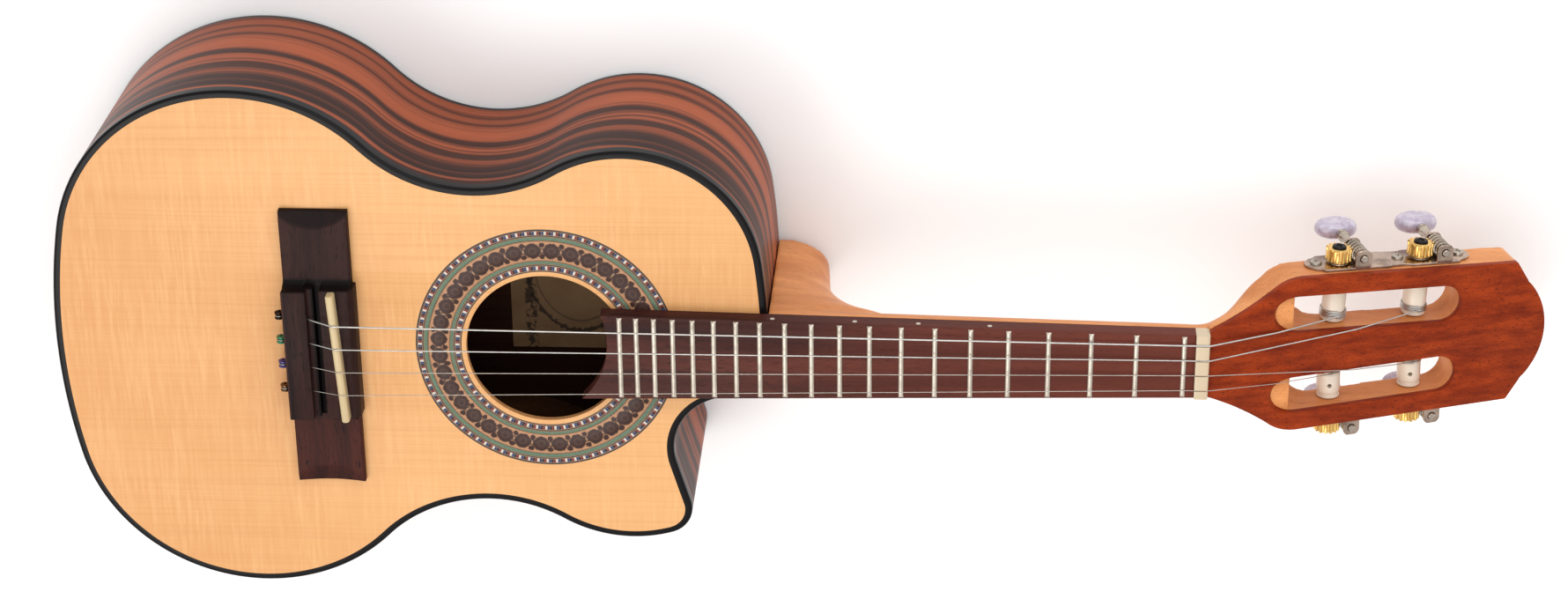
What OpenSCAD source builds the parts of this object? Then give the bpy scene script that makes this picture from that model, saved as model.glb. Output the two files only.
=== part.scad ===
// Four-string cavaquinho with a treble-side cutaway and a slotted head.
// The origin lies on the outer face of the flat back, on the centreline, below the saddle line.
// +X points to the head, +Y to the bass side and +Z out of the soundboard. Sizes are millimetres.

/* [Strings and frets] */
// Vibrating length, from the saddle line to the zero fret
scale_length = 340; // [335:1:345]
// Number of frets after the zero fret
fret_count = 19; // [15:1:19]
// Spread of the outer strings at the saddle
saddle_spread = 31.2; // [29:0.2:33]
// Spread of the outer strings at the nut
nut_spread = 20.2; // [19:0.2:21]
// Diameters of strings 1 to 4
string_diameters = [0.3, 0.36, 0.6, 0.76]; // [0.25:0.01:0.8]

/* [Body] */
// Height of the soundboard above the back
body_depth = 85; // [80:1:90]
// Distance from the saddle line to the tail
tail_x = 119.2; // [118:0.2:121]
// Distance from the saddle line to the neck joint
joint_x = 173.2; // [172:0.2:174]
// Width across the lower bout
lower_bout_w = 222.6; // [218:0.2:226]
// Radius of the lower bout
lower_bout_r = 74.9; // [73:0.1:77]
// Width across the upper bout
upper_bout_w = 174.8; // [172:0.2:178]
// Radius of the upper bout
upper_bout_r = 55.4; // [54:0.1:57]
// Radius of the hollow of the waist
waist_r = 60; // [58:0.5:64]
// Radius of the tail end
tail_r = 260; // [250:1:280]
// Radius of the shoulders at the neck
shoulder_r = 305; // [295:1:320]
// Thickness of the ribs
rib_t = 2; // [1.8:0.1:2.2]
// Thickness of the soundboard
top_t = 2.5; // [2.2:0.1:2.8]
// Thickness of the back
back_t = 2.5; // [2.2:0.1:2.8]
// Width of the top binding, seen from the front
binding_w = 3; // [2.6:0.1:3.4]
// Height of the top binding, seen from the side
binding_h = 5; // [4:0.5:6]
// Height of the back binding, seen from the side
back_binding_h = 3; // [2.8:0.1:3.4]

/* [Cutaway] */
// Radius of the horn's tip
horn_r = 12; // [11:0.5:13]
// Direction of the horn's centre from the centre of the upper bout, in degrees
horn_angle = 72.7; // [70:0.1:75]
// Radius of the hollow of the cutaway
cut_r = 24; // [23:0.5:25]
// Distance from the saddle line to the centre of the hollow
cut_x = 157.7; // [157:0.1:159]
// Distance from the centreline to the centre of the hollow
cut_y = 45; // [44.5:0.1:46]

/* [Soundhole] */
// Distance from the saddle line to the centre of the soundhole
hole_x = 82.6; // [81:0.2:84]
// Radius of the soundhole
hole_r = 32.6; // [31:0.1:33.5]
// Outer radius of the rosette
rosette_r = 53.4; // [52:0.1:54]
// Inner radius of the rosette
rosette_inner_r = 34.6; // [34:0.1:36]
// Depth of the rosette's inlay
rosette_t = 1; // [0.8:0.1:1.2]

/* [Fingerboard] */
// Thickness of the fingerboard
board_t = 7; // [6:0.1:7.5]
// Width of the fingerboard at the zero fret
board_w_nut = 28.2; // [27:0.1:29]
// Width of the fingerboard at fret 12
board_w_12 = 35; // [34:0.1:36]
// Height of the fret crowns
fret_h = 1; // [0.8:0.1:1.2]
// Width of the fret crowns
fret_w = 2.2; // [1.8:0.1:2.4]
// Thickness of the nut, along the strings
nut_t = 5.5; // [5:0.1:6]

/* [Bridge] */
// Length of the bridge, across the strings
bridge_l = 122.5; // [118:0.5:126]
// Height of the tie block
tie_h = 11; // [10.5:0.1:11.5]
// Length of the raised centre block
block_l = 58; // [56:0.5:60]
// Height of the saddle's top above the soundboard
saddle_h = 14; // [13.5:0.1:14.5]
// Slant of the saddle, in degrees
saddle_slant = 3.3; // [2:0.1:4]

/* [Neck] */
// Depth of the neck's wood behind the fingerboard at the nut
neck_d_nut = 13.5; // [13:0.1:15]
// Depth of the neck's wood behind the fingerboard at the heel
neck_d_heel = 15.5; // [15:0.1:17]
// Height of the heel's foot above the back
heel_foot_z = 3.2; // [3:0.1:5]
// Length of the heel's foot
heel_foot_l = 21.5; // [20:0.5:24]
// Width of the heel's foot
heel_foot_w = 27; // [24:0.5:30]

/* [Head] */
// Backward tilt of the head, in degrees
head_angle = 15.5; // [14:0.5:17]
// Length of the head from its start under the nut
head_l = 151; // [150:0.5:153]
// Thickness of the head
head_t = 17.5; // [17:0.1:18.5]
// Thickness of the head's face veneer
veneer_t = 2.5; // [2:0.1:3]
// Half width of the head at its shoulders
head_half_w = 34.2; // [33.8:0.1:34.6]
// Taper of the head's sides, in degrees
head_taper = 2; // [1.5:0.1:2.5]
// Width of the slots
slot_w = 16; // [15.5:0.1:16.4]

/* [Tuners] */
// Distance between the rollers of one side
tuner_pitch = 35; // [34.5:0.1:35.5]
// Depth of the roller axes below the head's face
tuner_depth = 10.5; // [10:0.1:11]
// Radius of the rollers
roller_r = 4.8; // [4.5:0.1:5]

/* [Hidden] */
$fn = 48;
// Gap of glued and pressed faces, and radial play of turning fits
glue_gap = 0.01;
play = 0.05;
// Longest straight step along a round outline
step = 4;

// Heights above the back
top_z = body_depth;
board_z = top_z + board_t;
fret_z = board_z + fret_h;

// Centres of the arcs of the body's outline, bass side
lower_c = [
    tail_r - tail_x - sqrt(pow(tail_r - lower_bout_r, 2) - pow(lower_bout_w / 2 - lower_bout_r, 2)),
    lower_bout_w / 2 - lower_bout_r
];
upper_c = [
    joint_x - shoulder_r + sqrt(pow(shoulder_r - upper_bout_r, 2) - pow(upper_bout_w / 2 - upper_bout_r, 2)),
    upper_bout_w / 2 - upper_bout_r
];
tail_c = [tail_r - tail_x, 0];
shoulder_c = [joint_x - shoulder_r, 0];
waist_c = circle_meeting(lower_c, lower_bout_r + waist_r, upper_c, upper_bout_r + waist_r);
// Centres of the cutaway's arcs, mirrored to the bass side
horn_c = upper_c + (upper_bout_r - horn_r) * [cos(horn_angle), sin(horn_angle)];
cut_c = [cut_x, cut_y];
cut_tangent = heading(horn_c, cut_c) + acos((horn_r + cut_r) / norm(cut_c - horn_c));

// Inner woodwork
body_reach = 250;
lining_t = 5.5;
lining_h = 12;
neck_block_l = 24;
neck_block_y = [-40, 23];
tail_block_l = 16;
tail_block_half_w = 28;
brace_gap = 5.8;
brace_w = 7;
bar_h = 12;
bar_x = [40, 121];
fan_x = 38;
fan_l = 128;
fan_h = 5;
fan_half_w = 2;
fan_step = 11;
fan_turn = 7;
bridge_plate_x = [-24, 8];
bridge_plate_half_w = 52;
bridge_plate_t = 1.6;
back_bar_x = [-72, 10, 134];
back_bar_w = 8;
back_bar_h = 13;
label_x = [57, 117];
label_half_w = 40;
label_t = 0.3;

// Fingerboard
board_taper = (board_w_12 - board_w_nut) / scale_length;
board_end_x = scale_length + 4.6;
board_start_x = 92;
board_cut_c = [73.3, 6.3];
board_cut_r = 34.8;
fret_end_gap = 0.8;
tang_w = 0.6;
tang_h = 1.8;
dot_frets = [5, 7, 9, 12];
dot_r = 1;
nut_end_x = board_end_x + nut_t;

// Bridge, as distances from the saddle line and heights above the soundboard
bridge_back_x = -22.5;
bridge_front_x = 6.5;
wing_h = 4;
wing_end_h = 1.6;
tie_front_x = -12.6;
tie_step_h = 7.6;
channel_x = [-10, -7.4];
channel_h = 3.5;
seat_h = 9.2;
seat_front_x = 4.4;
bevel_h = 6.4;
saddle_t = 3.2;
saddle_l = 57;
saddle_floor_h = 5.5;
saddle_x = -0.8;
tie_hole_r = 0.9;
ball_r = 2;

// Neck and heel
heel_curve_z = 26;
heel_curve_x = 240;
heel_top_l = heel_curve_x - joint_x;
neck_straight_x = 200;

// Head, as distances along its face from head_x
head_x = scale_length + 4;
head_z = fret_z - 1.3;
shoulder_s = 45;
corner_s = 136.8;
notch_s = 142.3;
notch_y = 21.8;
tip_r = 32;
slot_wall = 8.2;
slot_start_s = 33;
slot_end_s = 113.8;
slot_ramp = 49;

// Tuners, in the frame of one side of the head: u along the side, v outwards and w out of the face
first_tuner_u = 18;
plate_t = 1.2;
plate_w = 14;
plate_u = [8.5, 69.6];
plate_lobe_r = 4.6;
ear_t = 1.2;
ear_w = 7;
ear_h = 4.9;
axle_v = 4.9;
shaft_r = 2.5;
// One worm turn moves the gear on by one of its teeth
gear_teeth = 14;
gear_r = 5.5;
gear_hub_r = 2;
gear_t = 5;
gear_root_r = 4.5;
worm_pitch = 2 * PI * gear_r / (gear_teeth + 2);
worm_r = 3.4;
worm_root_r = 2.3;
worm_journal_r = 1.5;
worm_u = gear_r + worm_r - 0.8;
worm_l = 11;
screw_u = [plate_u[0], plate_u[0] + tuner_pitch, plate_u[1]];
screw_head_r = 2.4;
screw_head_h = 1.4;
screw_r = 1.2;
screw_l = 6.5;
button_w = -35;
button_r = 6.4;
button_half_l = 8.8;
button_t = 7.5;
stem_r = 1.3;
ferrule_r = 2.4;
ferrule_l = 4;
collar_r = 1.7;
gear_screw_r = 3;
gear_screw_h = 1.1;
gear_screw_hole_r = 1;
roller_gap = 0.4;
string_hole_r = 0.8;
winding_v = -20.5;
winding_turns = 4;

// ---- Helpers ----

function heading(p, q) = atan2(q[1] - p[1], q[0] - p[0]);

// The left of the two meeting points of two circles, seen from a towards b
function circle_meeting(a, ra, b, rb) =
    let (d = norm(b - a), e = (b - a) / d, along = (ra * ra - rb * rb + d * d) / (2 * d))
    a + e * along + [-e[1], e[0]] * sqrt(ra * ra - along * along);

// Points of an arc, without its last point
function arc(c, r, a0, a1) =
    let (n = max(2, ceil(abs(a1 - a0) * PI / 180 * r / step)))
    [for (i = [0:n - 1]) c + r * [cos(a0 + (a1 - a0) * i / n), sin(a0 + (a1 - a0) * i / n)]];

// Points of a quadratic curve, without its last point
function curve(p, q, r, n) =
    [for (i = [0:n - 1]) let (t = i / n) p * (1 - t) * (1 - t) + q * 2 * t * (1 - t) + r * t * t];

function flip(points) = [for (i = [len(points) - 1:-1:0]) [points[i][0], -points[i][1]]];

function fret_x(n) = scale_length * pow(2, -n / 12);

function board_half_w(x) = (board_w_12 + board_taper * (scale_length - 2 * x)) / 2;

function spread_y(k, spread) = (k - 2.5) * spread / 3;

// Outline of the body, moved inwards by inset
function half_outline(inset) = concat(
    arc(tail_c, tail_r - inset, 180, heading(tail_c, lower_c)),
    arc(lower_c, lower_bout_r - inset, heading(tail_c, lower_c), heading(lower_c, waist_c)),
    arc(waist_c, waist_r + inset, heading(waist_c, lower_c), heading(waist_c, upper_c))
);

function bass_outline(inset) = concat(
    half_outline(inset),
    arc(upper_c, upper_bout_r - inset, heading(upper_c, waist_c), heading(shoulder_c, upper_c)),
    arc(shoulder_c, shoulder_r - inset, heading(shoulder_c, upper_c), 0),
    [[joint_x - inset, 0]]
);

function treble_outline(inset) = concat(
    half_outline(inset),
    arc(upper_c, upper_bout_r - inset, heading(upper_c, waist_c), horn_angle),
    arc(horn_c, horn_r - inset, horn_angle, cut_tangent),
    arc(cut_c, cut_r + inset, cut_tangent + 180, 270),
    [[cut_x, cut_y - cut_r - inset], [joint_x - inset, cut_y - cut_r - inset]]
);

function without_first(points) = [for (i = [1:len(points) - 1]) points[i]];

module outline(inset) {
    polygon(concat(bass_outline(inset), flip(without_first(treble_outline(inset)))));
}

module slab(inset, z0, z1) {
    translate([0, 0, z0]) linear_extrude(z1 - z0) outline(inset);
}

module ring(outer, inner, z0, z1) {
    translate([0, 0, z0]) linear_extrude(z1 - z0) difference() {
        outline(outer);
        outline(inner);
    }
}

// Space inside the ribs, between the two plates
module inside() {
    slab(back_binding_h, back_t, back_binding_h);
    slab(rib_t, back_binding_h, top_z - binding_h);
    slab(binding_w, top_z - binding_h, top_z - top_t);
}

module box(x0, x1, y0, y1, z0, z1) {
    translate([x0, y0, z0]) cube([x1 - x0, y1 - y0, z1 - z0]);
}

// Straight round rod from point p to point q
module rod(p, q, r) {
    d = q - p;
    translate(p) rotate([0, acos(d[2] / norm(d)), atan2(d[1], d[0])]) cylinder(r = r, h = norm(d), $fn = 24);
}

// Solid through a row of sections with equal numbers of points
module loft(sections) {
    m = len(sections[0]);
    n = len(sections);
    polyhedron(
        points = [for (s = sections, p = s) p],
        faces = concat(
            [[for (j = [0:m - 1]) j]],
            [[for (j = [m - 1:-1:0]) (n - 1) * m + j]],
            [for (i = [0:n - 2], j = [0:m - 1])
                for (face = [
                    [i * m + j, (i + 1) * m + j, (i + 1) * m + (j + 1) % m],
                    [i * m + j, (i + 1) * m + (j + 1) % m, i * m + (j + 1) % m]
                ]) face]
        )
    );
}

// ---- Body ----

module soundboard() {
    color("#f5c68d") difference() {
        slab(binding_w, top_z - top_t, top_z);
        translate([hole_x, 0, top_z - top_t - 1]) cylinder(r = hole_r, h = top_t + 2, $fn = 96);
        translate([hole_x, 0, top_z - rosette_t]) difference() {
            cylinder(r = rosette_r + glue_gap, h = rosette_t + 1, $fn = 96);
            translate([0, 0, -1]) cylinder(r = rosette_inner_r - glue_gap, h = rosette_t + 3, $fn = 96);
        }
    }
}

module rosette() {
    color("#7d6a55") translate([hole_x, 0, top_z - rosette_t]) difference() {
        cylinder(r = rosette_r, h = rosette_t, $fn = 96);
        translate([0, 0, -1]) cylinder(r = rosette_inner_r, h = rosette_t + 2, $fn = 96);
    }
}

module back_plate() {
    color("#8a4b3a") slab(back_binding_h, 0, back_t);
}

module side_bass() {
    color("#a4614a") intersection() {
        ring(0, rib_t, back_binding_h, top_z - binding_h);
        box(-body_reach, body_reach, 0, body_reach, 0, top_z);
    }
}

module side_treble() {
    color("#a4614a") intersection() {
        ring(0, rib_t, back_binding_h, top_z - binding_h);
        box(-body_reach, body_reach, -body_reach, 0, 0, top_z);
    }
}

module top_binding() {
    color("#1d1a1c") ring(0, binding_w, top_z - binding_h, top_z);
}

module back_binding() {
    color("#1d1a1c") ring(0, back_binding_h, 0, back_binding_h);
}

module lining(z0, z1) {
    color("#c9a26b") difference() {
        intersection() {
            inside();
            box(-body_reach, body_reach, -body_reach, body_reach, z0, z1);
        }
        slab(rib_t + lining_t, z0 - 1, z1 + 1);
        block_spaces();
    }
}

module top_lining() {
    lining(top_z - top_t - lining_h, top_z - top_t);
}

module back_lining() {
    lining(back_t, back_t + lining_h);
}

module neck_block_space() {
    box(joint_x - neck_block_l, joint_x, neck_block_y[0], neck_block_y[1], 0, top_z);
}

module tail_block_space() {
    box(-tail_x, -tail_x + tail_block_l, -tail_block_half_w, tail_block_half_w, 0, top_z);
}

// Spaces that the two end blocks take up
module block_spaces() {
    neck_block_space();
    tail_block_space();
}

module neck_block() {
    color("#b98a5e") intersection() {
        inside();
        neck_block_space();
    }
}

module tail_block() {
    color("#b98a5e") intersection() {
        inside();
        tail_block_space();
    }
}

module top_braces() {
    z1 = top_z - top_t;
    color("#e3bd88") difference() {
        intersection() {
            slab(rib_t + brace_gap, z1 - bar_h, z1);
            union() {
                for (x = bar_x) box(x, x + brace_w, -body_reach, body_reach, z1 - bar_h, z1);
                for (i = [-2:2])
                    translate([fan_x, i * fan_step, z1 - fan_h]) rotate([0, 0, -i * fan_turn])
                        box(-fan_l, 0, -fan_half_w, fan_half_w, 0, fan_h);
            }
        }
        block_spaces();
        plate_space();
    }
}

module plate_space() {
    z1 = top_z - top_t;
    box(
        bridge_plate_x[0], bridge_plate_x[1], -bridge_plate_half_w, bridge_plate_half_w,
        z1 - bridge_plate_t, z1
    );
}

module bridge_plate() {
    color("#c79a66") plate_space();
}

module back_braces() {
    color("#e3bd88") difference() {
        intersection() {
            slab(rib_t + brace_gap, back_t, back_t + back_bar_h);
            for (x = back_bar_x)
                box(x, x + back_bar_w, -body_reach, body_reach, back_t, back_t + back_bar_h);
        }
        block_spaces();
    }
}

module label() {
    color("#dccba6") box(label_x[0], label_x[1], -label_half_w, label_half_w, back_t, back_t + label_t);
}

// ---- Bridge ----

module bridge_profile() {
    polygon([
        [bridge_back_x, 0], [bridge_back_x, tie_h - 1], [bridge_back_x + 1, tie_h],
        [tie_front_x, tie_h], [tie_front_x, tie_step_h], [channel_x[0], tie_step_h],
        [channel_x[0], channel_h], [channel_x[1], channel_h], [channel_x[1], seat_h],
        [seat_front_x, seat_h], [bridge_front_x - 0.2, bevel_h], [bridge_front_x, 0]
    ]);
}

// Top line of one wing, from the block to the thin end
function wing_top(l) = concat(
    [[0, 0], [0, seat_h]],
    curve([2, wing_h + 2.4], [3, wing_h], [8, wing_h], 4),
    curve([8, wing_h], [l - 12, wing_h], [l - 8, wing_h - 0.5], 3),
    curve([l - 8, wing_h - 0.5], [l - 3, wing_end_h], [l, wing_end_h], 5),
    [[l, wing_end_h], [l, 0]]
);

module wing() {
    l = (bridge_l - block_l) / 2;
    translate([bridge_back_x, block_l / 2, 0]) rotate([90, 0, 90])
        linear_extrude(bridge_front_x - 1.2 - bridge_back_x) polygon(wing_top(l));
}

function saddle_line_x(y) = saddle_x - y * tan(saddle_slant);

module at_saddle() {
    translate([saddle_x, 0, 0]) rotate([0, 0, saddle_slant]) children();
}

// Inner opening of a string's hole, in the front face of the tie block
function tie_exit(k) = [tie_front_x, spread_y(k, saddle_spread) * 1.04, top_z + tie_step_h + 1.4];

function tie_entry(k) = [bridge_back_x, spread_y(k, saddle_spread) * 1.05, top_z + 5.6];

module bridge() {
    color("#3f2a27") difference() {
        translate([0, 0, top_z]) union() {
            translate([0, block_l / 2, 0]) rotate([90, 0, 0]) linear_extrude(block_l) bridge_profile();
            wing();
            mirror([0, 1, 0]) wing();
        }
        translate([0, 0, top_z + saddle_floor_h]) at_saddle()
            box(-saddle_t / 2, saddle_t / 2, -saddle_l / 2, saddle_l / 2, 0, 20);
        for (k = [1:4]) {
            d = (tie_exit(k) - tie_entry(k)) / norm(tie_exit(k) - tie_entry(k));
            rod(tie_entry(k) - d * 2, tie_exit(k) + d * 2, tie_hole_r);
        }
    }
}

module saddle() {
    h = saddle_h - saddle_floor_h;
    half_t = saddle_t / 2 - glue_gap;
    half_l = saddle_l / 2 - glue_gap;
    crown = arc([0, h - half_t], half_t, 0, 180);
    color("#f1e4c4") translate([0, 0, top_z + saddle_floor_h]) at_saddle()
        translate([0, half_l, 0]) rotate([90, 0, 0]) linear_extrude(2 * half_l)
            polygon(concat([[-half_t, 0], [half_t, 0]], crown, [[-half_t, h - half_t]]));
}

// ---- Fingerboard ----

module board_plan() {
    difference() {
        polygon([
            [board_start_x, -board_half_w(board_start_x)], [board_end_x, -board_half_w(board_end_x)],
            [board_end_x, board_half_w(board_end_x)], [board_start_x, board_half_w(board_start_x)]
        ]);
        translate(board_cut_c) circle(r = board_cut_r, $fn = 96);
    }
}

module fingerboard() {
    color("#54332e") difference() {
        translate([0, 0, top_z]) linear_extrude(board_t) board_plan();
        for (n = [0:fret_count])
            box(fret_x(n) - tang_w / 2, fret_x(n) + tang_w / 2, -30, 30, board_z - tang_h, board_z + 1);
        for (n = dot_frets) dot_rod(n, 0);
    }
}

// Round dot in the bass edge of the board, in the middle of a fret's space
module dot_rod(n, gap) {
    x = (fret_x(n) + fret_x(n - 1)) / 2;
    y = board_half_w(x);
    translate([x, y - 2, top_z + board_t - 2.6]) rotate([-90, 0, 0])
        cylinder(r = dot_r - gap, h = gap > 0 ? 2 : 4, $fn = 24);
}

module side_dots() {
    color("#f4efe4") for (n = dot_frets) dot_rod(n, glue_gap);
}

module frets() {
    half_tang = tang_w / 2 - glue_gap;
    crown = arc([0, 0], 1, 0, 180);
    color("#d8d5cc") for (n = [0:fret_count]) {
        w = board_half_w(fret_x(n));
        translate([fret_x(n), 0, board_z]) rotate([90, 0, 0]) {
            translate([0, 0, -w + fret_end_gap]) linear_extrude(2 * (w - fret_end_gap))
                polygon(concat([for (p = crown) [p[0] * fret_w / 2, p[1] * fret_h]], [[-fret_w / 2, 0]]));
            translate([-half_tang, -tang_h + glue_gap, -w]) cube([2 * half_tang, tang_h - glue_gap, 2 * w]);
        }
    }
}

module nut() {
    half_w = board_half_w(board_end_x);
    color("#efe6d2") difference() {
        box(board_end_x, nut_end_x, -half_w, half_w, top_z, fret_z + 0.7);
        for (k = [1:4])
            translate([board_end_x - 1, spread_y(k, nut_spread), fret_z]) rotate([0, 90, 0])
                cylinder(r = string_diameters[k - 1] / 2 + 0.4, h = nut_t + 2, $fn = 24);
        for (k = [1:4])
            translate([board_end_x - 1, spread_y(k, nut_spread) - string_diameters[k - 1] / 2 - 0.4, fret_z])
                cube([nut_t + 2, string_diameters[k - 1] + 0.8, 3]);
    }
}

// ---- Neck and head ----

module in_head() {
    translate([head_x, 0, head_z]) rotate([0, head_angle, 0]) children();
}

// A point given along the head's face, across it and out of it
function head_point(s, y, h) = [
    head_x + s * cos(head_angle) + h * sin(head_angle),
    y,
    head_z - s * sin(head_angle) + h * cos(head_angle)
];

function side_y(s) = head_half_w - tan(head_taper) * (s - shoulder_s);

module on_bass_side() {
    in_head() translate([shoulder_s, head_half_w, 0]) rotate([0, 0, -head_taper]) children();
}

// side is 1 for the bass side and -1 for the treble side, which is its mirror image
module on_side(side) {
    if (side > 0) on_bass_side() children();
    if (side < 0) mirror([0, 1, 0]) on_bass_side() children();
}

function tuner_side(k) = k <= 2 ? -1 : 1;

function tuner_u(k) = first_tuner_u + (k == 2 || k == 3 ? tuner_pitch : 0);

module at_tuner(k) {
    on_side(tuner_side(k)) translate([tuner_u(k), 0, -tuner_depth]) children();
}

function head_half() =
    let (tip_c = [head_l - tip_r, 0], notch_a = asin((notch_y - 1.2) / tip_r))
    concat(
        curve([0, 12], [18, 18.5], [33, 29.8], 6),
        curve([33, 29.8], [38, 34], [shoulder_s, head_half_w], 5),
        [[shoulder_s, head_half_w], [corner_s, side_y(corner_s)], [notch_s, notch_y]],
        arc(tip_c, tip_r, notch_a, 0),
        [[head_l, 0]]
    );

module head_plan() {
    half = head_half();
    polygon(concat(half, [for (i = [len(half) - 2:-1:0]) [half[i][0], -half[i][1]]]));
}

// Through slot, with a ramp for the strings at its nut end
module slot_space() {
    r = slot_w / 2;
    mid_v = -slot_wall - r;
    ramp_s = slot_start_s - shoulder_s + r / sin(slot_ramp);
    reach = head_t / sin(slot_ramp) + 14;
    hull() {
        translate([slot_end_s - shoulder_s - r, mid_v, -head_t - 5]) cylinder(r = r, h = head_t + 8, $fn = 32);
        translate([ramp_s, mid_v, 0]) rotate([0, 90 + slot_ramp, 0]) translate([0, 0, -4])
            cylinder(r = r, h = reach, $fn = 32);
    }
}

module slots() {
    on_side(1) slot_space();
    on_side(-1) slot_space();
}

module head_layer(h0, h1) {
    difference() {
        in_head() translate([0, 0, h0]) linear_extrude(h1 - h0) head_plan();
        box(head_x - 60, nut_end_x, -50, 50, 0, 120);
    }
}

// Bores for the roller shafts and screws of one tuner
module tuner_bores(k) {
    at_tuner(k) {
        rotate([90, 0, 0]) translate([0, 0, -1]) cylinder(r = shaft_r + 0.3, h = slot_wall + 3, $fn = 32);
        rotate([90, 0, 0]) translate([0, 0, slot_wall + slot_w - 1])
            cylinder(r = shaft_r + play, h = 7, $fn = 32);
    }
}

module screw_bores(side) {
    on_side(side) for (u = screw_u)
        translate([u, 0.5, -tuner_depth]) rotate([90, 0, 0]) cylinder(r = screw_r, h = screw_l + 0.5, $fn = 24);
}

// Distance that the heel or neck reaches from the joint at height z
function heel_l(z) =
    let (t = min(1, max(0, (z - heel_curve_z) / (top_z - neck_d_heel - heel_curve_z))))
    heel_foot_l + (z - heel_foot_z) * 0.06 + (heel_top_l - heel_foot_l - 2) * (1 - sqrt(1 - t * t * 0.98));

function heel_w(z) =
    let (t = (z - heel_foot_z) / (top_z - heel_foot_z))
    heel_foot_w / 2 + (board_half_w(joint_x) - heel_foot_w / 2) * t;

function heel_section(z) =
    [for (a = [-90:15:90]) [joint_x + heel_l(z) * cos(a), heel_w(z) * sin(a), z]];

function neck_section(x, d) =
    [for (a = [-90:15:90]) [x, (board_half_w(x) - 0.1) * sin(a), top_z - d * pow(cos(a), 0.85)]];

module heel() {
    loft([for (i = [0:14]) let (z = heel_foot_z + (top_z - 4 - heel_foot_z) * i / 14) heel_section(z)]);
}

module neck() {
    color("#dca26c") difference() {
        union() {
            heel();
            loft([
                neck_section(joint_x, neck_d_heel),
                neck_section(neck_straight_x, neck_d_heel),
                neck_section(nut_end_x, neck_d_nut)
            ]);
            head_layer(-head_t, -veneer_t);
        }
        slots();
        for (k = [1:4]) tuner_bores(k);
        screw_bores(1);
        screw_bores(-1);
    }
}

module head_veneer() {
    color("#9c3f1e") difference() {
        head_layer(-veneer_t, 0);
        slots();
    }
}

// ---- Tuners ----

module plate(side) {
    w0 = -tuner_depth - plate_w / 2;
    color("#b9b4aa") on_side(side) difference() {
        union() {
            box(plate_u[0], plate_u[1], 0, plate_t, w0, w0 + plate_w);
            for (u = plate_u)
                translate([u, plate_t, -tuner_depth]) rotate([90, 0, 0]) cylinder(r = plate_lobe_r, h = plate_t);
            for (u = [first_tuner_u, first_tuner_u + tuner_pitch], end = [0, 1])
                translate([u + worm_u, 0, w0 + end * (plate_w - ear_t)]) ear();
        }
        for (u = [first_tuner_u, first_tuner_u + tuner_pitch]) {
            translate([u, 2, -tuner_depth]) rotate([90, 0, 0]) cylinder(r = shaft_r + play, h = 4);
            translate([u + worm_u, axle_v, w0 - 1]) cylinder(r = worm_journal_r + play, h = plate_w + 2);
        }
        for (u = screw_u)
            translate([u, 2, -tuner_depth]) rotate([90, 0, 0]) cylinder(r = screw_r + 0.2, h = 4);
    }
}

module ear() {
    box(-ear_w / 2, ear_w / 2, 0, ear_h, 0, ear_t);
    translate([0, ear_h, 0]) cylinder(r = ear_w / 2, h = ear_t);
}

module plate_bass() {
    plate(1);
}

module plate_treble() {
    plate(-1);
}

module plate_screws() {
    color("#c9c4ba") for (side = [-1, 1], u = screw_u)
        on_side(side) translate([u, plate_t, -tuner_depth]) rotate([90, 0, 0]) difference() {
            union() {
                translate([0, 0, -screw_head_h]) cylinder(r = screw_head_r, h = screw_head_h);
                cylinder(r = screw_r - glue_gap, h = screw_l - 0.2 + plate_t);
            }
            box(-screw_head_r - 1, screw_head_r + 1, -0.3, 0.3, -screw_head_h - 1, -screw_head_h + 0.7);
        }
}

// Section of the worm, with its thread towards the gear
function worm_section() =
    [for (a = [20, 60, 100, 120, 140, 158, 180, 202, 220, 240, 260, 300, 340])
        let (off = abs(a - 180), t = min(1, max(0, (80 - off) / 42)))
        (worm_root_r + (worm_r - worm_root_r) * t) * [cos(a), sin(a)]];

module worm(k) {
    out = plate_w / 2;
    button_top = button_w + tuner_depth + button_r + 0.1;
    color("#c3beb4") at_tuner(k) translate([worm_u, axle_v, 0]) {
        rotate([0, 0, -180 * worm_l / worm_pitch])
            linear_extrude(worm_l, center = true, twist = -360 * worm_l / worm_pitch, slices = 50, $fn = 12)
                polygon(worm_section());
        translate([0, 0, -out - 0.1]) cylinder(r = worm_journal_r, h = 2 * out + 1);
        translate([0, 0, button_top]) cylinder(r = collar_r, h = -button_top - out - 0.1);
        translate([0, 0, button_top]) cylinder(r = ferrule_r, h = ferrule_l);
        translate([0, 0, button_w + tuner_depth - 3]) cylinder(r = stem_r, h = button_r + 4);
    }
}

module worm_1() {
    worm(1);
}

module worm_2() {
    worm(2);
}

module worm_3() {
    worm(3);
}

module worm_4() {
    worm(4);
}

module button(k) {
    color("#d9d2e8") at_tuner(k) translate([worm_u, axle_v, button_w + tuner_depth]) difference() {
        hull() {
            for (side = [-1, 1]) translate([side * (button_half_l - button_r), 0, 0]) rotate([90, 0, 0]) {
                cylinder(r = button_r, h = button_t / 2, center = true, $fn = 32);
                cylinder(r = button_r - 1.7, h = button_t, center = true, $fn = 32);
            }
        }
        translate([0, 0, -3.02]) cylinder(r = stem_r + glue_gap, h = 12);
    }
}

module button_1() {
    button(1);
}

module button_2() {
    button(2);
}

module button_3() {
    button(3);
}

module button_4() {
    button(4);
}

// Gear outline, with a gap between teeth towards the worm
function gear_outline() =
    let (pitch = 360 / gear_teeth)
    [for (i = [0:gear_teeth - 1], p = [[-0.29, gear_root_r], [-0.16, gear_r], [0.16, gear_r], [0.29, gear_root_r]])
        let (a = (i + 0.5 + p[0] / 2) * pitch) p[1] * [cos(a), sin(a)]];

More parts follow.
